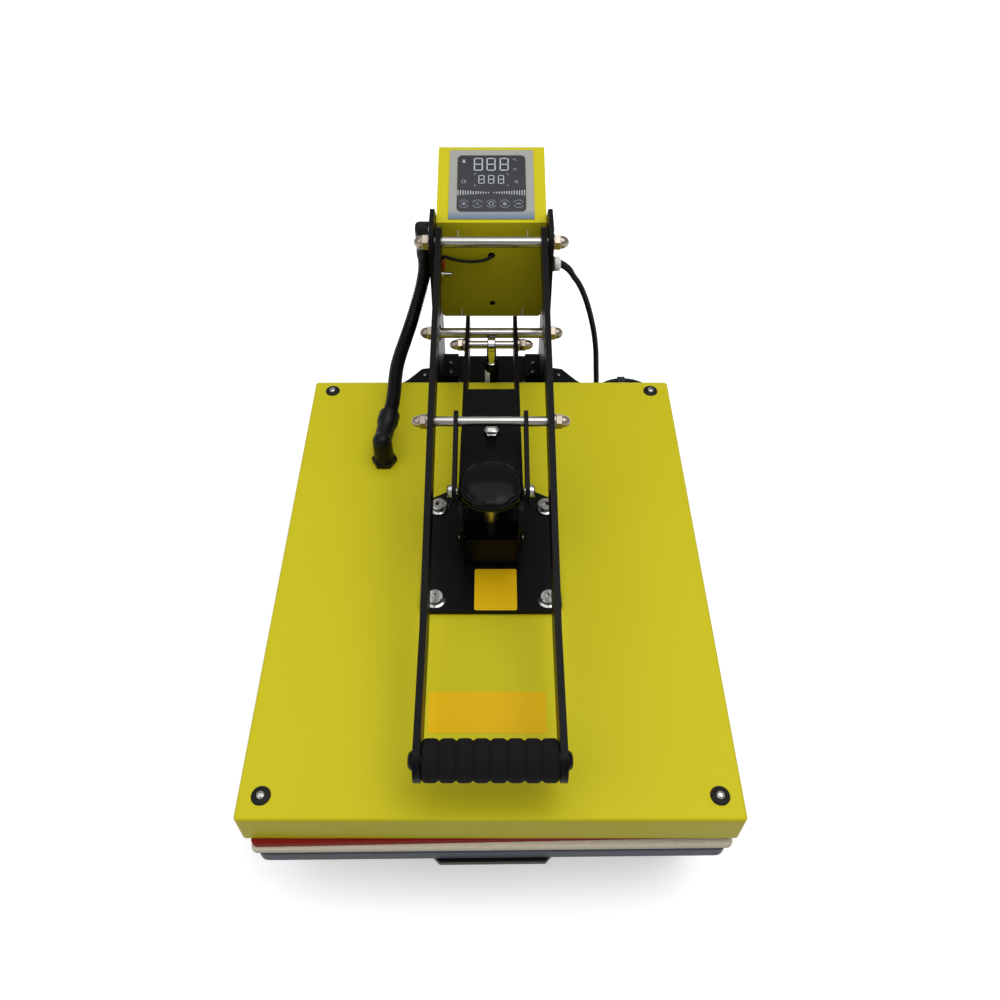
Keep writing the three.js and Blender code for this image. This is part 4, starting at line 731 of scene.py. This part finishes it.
sleeve_bore, end_radius, valley_radius = tube_radius + sleeve_gap, 14.6, 15.1
outline = [(sleeve_bore, 0), (end_radius, 0)]
for i in range(ridge_count):
    for share, radius in ((0.05, 15.5), (0.14, 16.5), (0.26, 16.95), (0.74, 16.95),
                          (0.86, 16.5), (0.95, 15.5)):
        outline.append((radius, (i + share) * ridge))
    if i < ridge_count - 1:
        outline.append((valley_radius, (i + 1) * ridge))
outline += [(end_radius, sleeve_length), (sleeve_bore, sleeve_length), (sleeve_bore, 0)]
sleeve_mesh = stand(bmesh.new(), outline, (-sleeve_length / 2000, grip_y, grip_z), (1, 0, 0),
                    64)
sleeve = show("grip_foam", sleeve_mesh, foam, "handle", "handle_grip")
link_rod_y, link_rod_z, handle_face = 341, 279.5, 60.9
grip_screw_foot = 0.0608
handle_nuts, grip_screws = bmesh.new(), bmesh.new()
for side in (-1, 1):
    acorn(handle_nuts, side * handle_face, link_rod_y, link_rod_z, 14, 14.5, 2)
    pan_head(grip_screws, (side * grip_screw_foot, grip_y, grip_z), 8, 4.6, (side, 0, 0))
show("handle_nuts", handle_nuts, nickel, "handle", slot="zinc")
show("grip_screws", grip_screws, gloss, "handle", slot="zinc")

# Gas strut: black cylinder with a chrome neck and eye and a plain white label, on a
# polished rod whose lower eye sits in a clevis on the floor of the tail channel.
pin = at(0, strut_pin_y, strut_pin_z)
anchor = at(0, 562, 47)
down = (anchor - pin).normalized()
span = (anchor - pin).length * 1000
chrome = Finish("polished_chrome", seen(222, 223, 225), 0.08, Metallic=1.0)
chrome.set("Roughness", 0.05 + 0.08 * chrome.noise(60))
barrel = stand(bmesh.new(), [(5, 33), (7, 33), (8, 34), (8, 136), (7.2, 137), (5, 137),
                             (5, 33)], pin, down, 40)
show("strut_barrel", barrel, black, "strut_cylinder", "gas_strut_cylinder")
neck = stand(bmesh.new(), [(0, 6), (4.6, 6), (5.5, 9), (5.5, 31), (6.4, 31.4), (6.4, 33),
                           (0, 33)], pin, down, 32)
stand(neck, [(4.8, -4.5), (7.2, -4.5), (8, -3.6), (8, 3.6), (7.2, 4.5), (4.8, 4.5),
             (4.8, -4.5)], pin, (1, 0, 0), 40)
show("strut_neck", neck, chrome, "strut_cylinder", slot="chrome")
label_edge_front, label_edge_right = 0.002, -0.0012
label = stand(bmesh.new(), [(8.05, 46), (8.12, 46.2), (8.12, 82), (8.05, 82.2)], pin, down, 48)
bmesh.ops.delete(label, geom=[vert for vert in label.verts
                              if (vert.co - pin).cross(down).x < label_edge_front
                              or vert.co.x > label_edge_right], context="VERTS")
show("strut_label", label, white, "strut_cylinder", slot="white_plastic")
strut_rod = stand(bmesh.new(), [(0, 82), (4, 82), (4, span - 8), (4.6, span - 7),
                                (0, span - 6)], pin, down, 32)
stand(strut_rod, [(5.7, -4.5), (8.2, -4.5), (9, -3.6), (9, 3.6), (8.2, 4.5), (5.7, 4.5),
                  (5.7, -4.5)], anchor, (1, 0, 0), 40)
show("strut_rod", strut_rod, chrome, "strut_rod", "gas_strut_rod")
crisp(black, 0.4, "strut_bracket")

# Control box: a folded shell in the platen's yellow with a sloping top and a back
# cover, screwed between the uprights. A wire leaves its front by a hole to a red crimp
# and an earth screw. The openings in its front are thin dark discs of painted shade.
crisp(yellow, 1.6, "control_box_shell")
crisp(yellow, 0.5, "control_box_back")
box_front, panel_foot, lean = 599, 334, radians(6.6)
front_normal = Vector((0, -cos(lean), -sin(lean)))


def on_front(x, z, proud=0.0):
    """A place on the front of the box, some millimetres proud of it."""
    return at(x, box_front + (panel_foot - z) * tan(lean), z) + front_normal * proud / 1000


# Both openings in the box's front are thin dark discs of painted shade.
wire_exit, hole_shade_depth = 286.2, 0.15
hole_shades = bmesh.new()
for x, z, radius in ((0, wire_exit, 4.2), (1, 209.8, 3.6)):
    stand(hole_shades, [(0, 0), (radius, 0), (radius, hole_shade_depth), (0, hole_shade_depth)],
          on_front(x, z), front_normal, 24)
show("box_hole_shades", hole_shades, dark, "frame", slot="black_plastic")
slots = bmesh.new()
for x, z, tall in ((-38, 318.8, 13), (41, 318.8, 13), (-37.2, 196.4, 16),
                   (38.4, 196.4, 16)):
    block(slots, (0.0012, 0.0006, tall / 1000), on_front(x, z, 0.2))
show("box_slots", slots, white, "frame", slot="white_plastic")
wire_radius = 0.0017
wire_line = [on_front(x, z, proud) for x, z, proud in (
    (0, wire_exit, -3), (0, wire_exit, 2.2), (-6, 283.6, 4.2), (-14, 281.2, 4.4),
    (-25, 280.2, 4.2), (-38, 281.4, 3.6), (-48, 284, 3), (-54.6, 286, 2.8), (-57, 284, 2.6),
    (-57, 279, 2.4))]
tube("box_wire", wire_line, wire_radius, rubber, "frame", slot="black_rubber")
red = Finish("red_sleeve", seen(168, 38, 26), 0.4)
red.set("Roughness", 0.36 + 0.1 * red.noise(200))
crimp = stand(bmesh.new(), [(0, 0), (1.9, 0), (2.3, 1), (2.3, 13), (1.7, 14), (0, 14)],
              on_front(-56.8, 282.5, 2.6), (0, 0, -1), 20)
show("crimp_sleeve", crimp, red, "frame", slot="red_silicone")
earth_place = on_front(-60, 262, 5)
box_screws = stand(bmesh.new(), [(0, 0), (4.6, 0), (4.6, 1.1), (1.8, 1.1), (1.8, 13),
                                 (1.4, 13.6), (0, 13.6)], earth_place, (1, 0, 0), 28)
stand(box_screws, [(1.8, 1.1), (3.6, 1.1), (3.6, 4.2), (3, 4.7), (1.8, 4.7)], earth_place,
      (1, 0, 0), 6)
screw_foot, box_back = upright_face - 0.1, 710.1
for side in (-1, 1):
    pan_head(box_screws, at(side * screw_foot, 590, 300), 3.4, 2.0, (side, 0, 0))
    pan_head(box_screws, at(side * screw_foot, 591, 330.5), 5.0, 2.8, (side, 0, 0))
for x, z in ((-54, 350), (54, 350), (-54, 195), (54, 195)):
    pan_head(box_screws, at(x, box_back, z), 3.2, 2.0, (0, 1, 0))
show("box_screws", box_screws, zinc, "frame", slot="zinc")

# Control panel: a grey printed overlay with a bluish band along its front edge round
# a dark display window. The digits, ticks and touch icons are printed in pale grey.
tilt = radians(15.4)
panel_normal = Vector((0, -sin(tilt), cos(tilt)))
panel_up = Vector((0, cos(tilt), sin(tilt)))
panel_turn = Matrix((Vector((1, 0, 0)), panel_up, panel_normal)).transposed().to_4x4()
panel_face = at(0, box_front, panel_foot)


def on_panel(x, up, proud=0.0):
    """A place on the sloping top, by its distance from the middle and the front edge."""
    return (panel_face + Vector((x / 1000, 0, 0)) + panel_up * up / 1000
            + panel_normal * proud / 1000)


overlay = Finish("grey_overlay", seen(152, 152, 150), 0.4, Specular_IOR_Level=0.3)
band_top, band_foot = 22, 11
height = overlay.add("ShaderNodeSeparateXYZ", {}, {"Vector": overlay.place}, "Z")
band = overlay.add("ShaderNodeMapRange", {}, {"Value": height,
                                              "From Min": on_panel(0, band_top).z,
                                              "From Max": on_panel(0, band_foot).z})
overlay.mottle(seen(152, 152, 148), seen(100, 117, 140), band)
overlay.relief(overlay.noise(900), 0.00003)
dress(overlay, "control_panel")
window = Finish("display_window", seen(36, 39, 45), 0.25, Specular_IOR_Level=0.3)
window.set("Roughness", 0.2 + 0.08 * window.noise(20))
dress(window, "display_window")
board = Finish("green_board", seen(28, 88, 56), 0.5)
board.mottle(seen(24, 80, 50), seen(34, 98, 62), board.noise(90, 3))
dress(board, "control_board")
print_grey = Finish("pale_print", seen(184, 188, 192), 0.5)
print_grey.mottle(seen(178, 182, 186), seen(190, 194, 198), print_grey.noise(300))
dim_grey = Finish("dim_print", seen(128, 132, 138), 0.5)
dim_grey.mottle(seen(120, 124, 130), seen(136, 140, 146), dim_grey.noise(400))
ink_proud, ink_thickness = 1.24, 0.00008
arc_proud, arc_step = ink_proud + 0.02, 9


def bar(mesh, x, up, width, length):
    """Adds a flat printed bar to the display."""
    corners = block(mesh, (width / 1000, length / 1000, ink_thickness))
    bmesh.ops.transform(mesh, matrix=Matrix.Translation(on_panel(x, up, ink_proud))
                        @ panel_turn, verts=corners)


def arc(mesh, x, up, radius, width, start=0, stop=360):
    """Adds a flat printed arc to the display, between two angles in degrees."""
    line = [mesh.verts.new(((radius + side * width / 2) / 1000, 0, 0)) for side in (-1, 1)]
    edge = mesh.edges.new(line)
    before = set(mesh.verts) - set(line)
    steps = round((stop - start) / arc_step)
    bmesh.ops.spin(mesh, geom=line + [edge], cent=(0, 0, 0), axis=(0, 0, 1),
                   angle=radians(stop - start), steps=steps)
    added = [vert for vert in mesh.verts if vert not in before]
    bmesh.ops.rotate(mesh, cent=(0, 0, 0), matrix=Matrix.Rotation(radians(start), 3, "Z"),
                     verts=added)
    bmesh.ops.transform(mesh, matrix=Matrix.Translation(on_panel(x, up, arc_proud))
                        @ panel_turn, verts=added)


digits = bmesh.new()
for middles, foot, width, tall, thick in (((-15.2, -0.5, 14.7), 77.1, 9.2, 18.2, 1.3),
                                          ((-11.5, -0.3, 11), 57.1, 6.1, 11.8, 0.9)):
    for x in middles:
        for share in (0, 0.5, 1):
            bar(digits, x, foot + share * tall, width - 1.1 * thick, thick)
        for side in (-0.5, 0.5):
            for share in (0.25, 0.75):
                bar(digits, x + side * width, foot + share * tall, thick,
                    tall / 2 - 0.7 * thick)
display_middle, tick_count, tick_row = -0.2, 13, 43
for side in (-1, 1):
    for i in range(tick_count):
        bar(digits, display_middle + side * (3.2 + 2.9 * i), tick_row, 1.0, 1.8 + 0.5 * i)
bar(digits, -32, 90, 3.2, 2)
bar(digits, -32, 92.4, 1.8, 2)
show("display_digits", digits, print_grey, "frame", slot="white_plastic")
icons = bmesh.new()
plus_key, low_key, middle_key, high_key, minus_key = -31.3, -15.8, -0.2, 15.1, 30.8
key_row, key_radius = 26.5, 5.6
for x in (plus_key, low_key, middle_key, high_key, minus_key):
    arc(icons, x, key_row, key_radius, 0.7, 20, 160)
    arc(icons, x, key_row, key_radius, 0.7, 200, 340)
bar(icons, plus_key, key_row, 5, 1.8)
bar(icons, plus_key, key_row, 1.8, 5)
bar(icons, minus_key, key_row, 5.4, 1.6)
arc(icons, middle_key, key_row, 2.6, 1.1)
arc(icons, high_key, key_row, 1.2, 2.2)
arc(icons, low_key, key_row, 1.6, 0.6)
bracket_length, bracket_width = 2.4, 0.7
for x, inward in ((-19.7, 1), (19.2, -1)):
    for up, onward in ((71.7, -1), (53.3, 1)):
        bar(icons, x + inward * bracket_length / 2, up, bracket_length, bracket_width)
        bar(icons, x, up + onward * bracket_length / 2, bracket_width, bracket_length)
arc(icons, -32, 59.6, 2.5, 0.8, 40, 400)
bar(icons, -31.2, 60.3, 0.7, 2.2)
arc(icons, 28.7, 59.4, 1.5, 1.0)
for up in (93.4, 78.3):
    arc(icons, 25.9, up + 0.6, 0.9, 0.5)
    arc(icons, 28.2, up - 0.2, 1.3, 0.6, 50, 310)
show("display_icons", icons, dim_grey, "frame", slot="panel_overlay")

# Rocker switch: a black moulded frame in the back cover, with a rocker marked by a
# short bar and a ring.
crisp(nylon, 0.4, "power_switch_frame")
crisp(gloss, 0.4, "power_switch_rocker")

# Floor and light: a plain pale floor under the press, three soft lamps above it and an
# even surround. The floor looks white to the camera and keeps the press's shadow.
floor_paint = Finish("pale_floor", (0.9, 0.9, 0.9, 1), 0.9, Emission_Strength=1.0,
                     Specular_IOR_Level=0.0)
looked_at = sum(floor_paint.add("ShaderNodeLightPath", {}, {}, ray)
                for ray in ("Is Camera Ray", "Is Glossy Ray", "Is Transmission Ray"))
floor_paint.mottle((0.35, 0.35, 0.35, 1), (0.92, 0.92, 0.92, 1), looked_at)
floor_paint.set("Emission Color", floor_paint.mix((0, 0, 0, 1), (0.38, 0.38, 0.38, 1),
                                                  looked_at))
floor_reach, floor_drop = 200, 0.0002
floor_mesh = bmesh.new()
bmesh.ops.create_grid(floor_mesh, x_segments=1, y_segments=1, size=floor_reach)
bmesh.ops.translate(floor_mesh, vec=(0, 0, -floor_drop), verts=floor_mesh.verts)
floor = show("floor", floor_mesh, floor_paint, None)
lit_point = Vector((0, 0, 0.15))
for name, place, size, power in (("key", (0.7, -0.3, 2.2), 1.6, 19),
                                 ("fill", (-1.2, -0.7, 1.7), 1.4, 7),
                                 ("top", (0, 0.5, 2.4), 1.8, 14)):
    lamp = bpy.data.lights.new(name, "AREA")
    lamp.energy = power
    lamp.size = size
    holder = bpy.data.objects.new(name, lamp)
    holder.location = place
    holder.rotation_euler = (lit_point - Vector(place)).to_track_quat("-Z", "Y").to_euler()
    bpy.context.scene.collection.objects.link(holder)
world = bpy.data.worlds.new("surround")
bpy.context.scene.world = world
world.use_nodes = True
surround = world.node_tree.nodes["Background"]
surround.inputs["Color"].default_value = (1, 1, 1, 1)
surround.inputs["Strength"].default_value = 0.48
bpy.context.scene.view_settings.view_transform = "Standard"
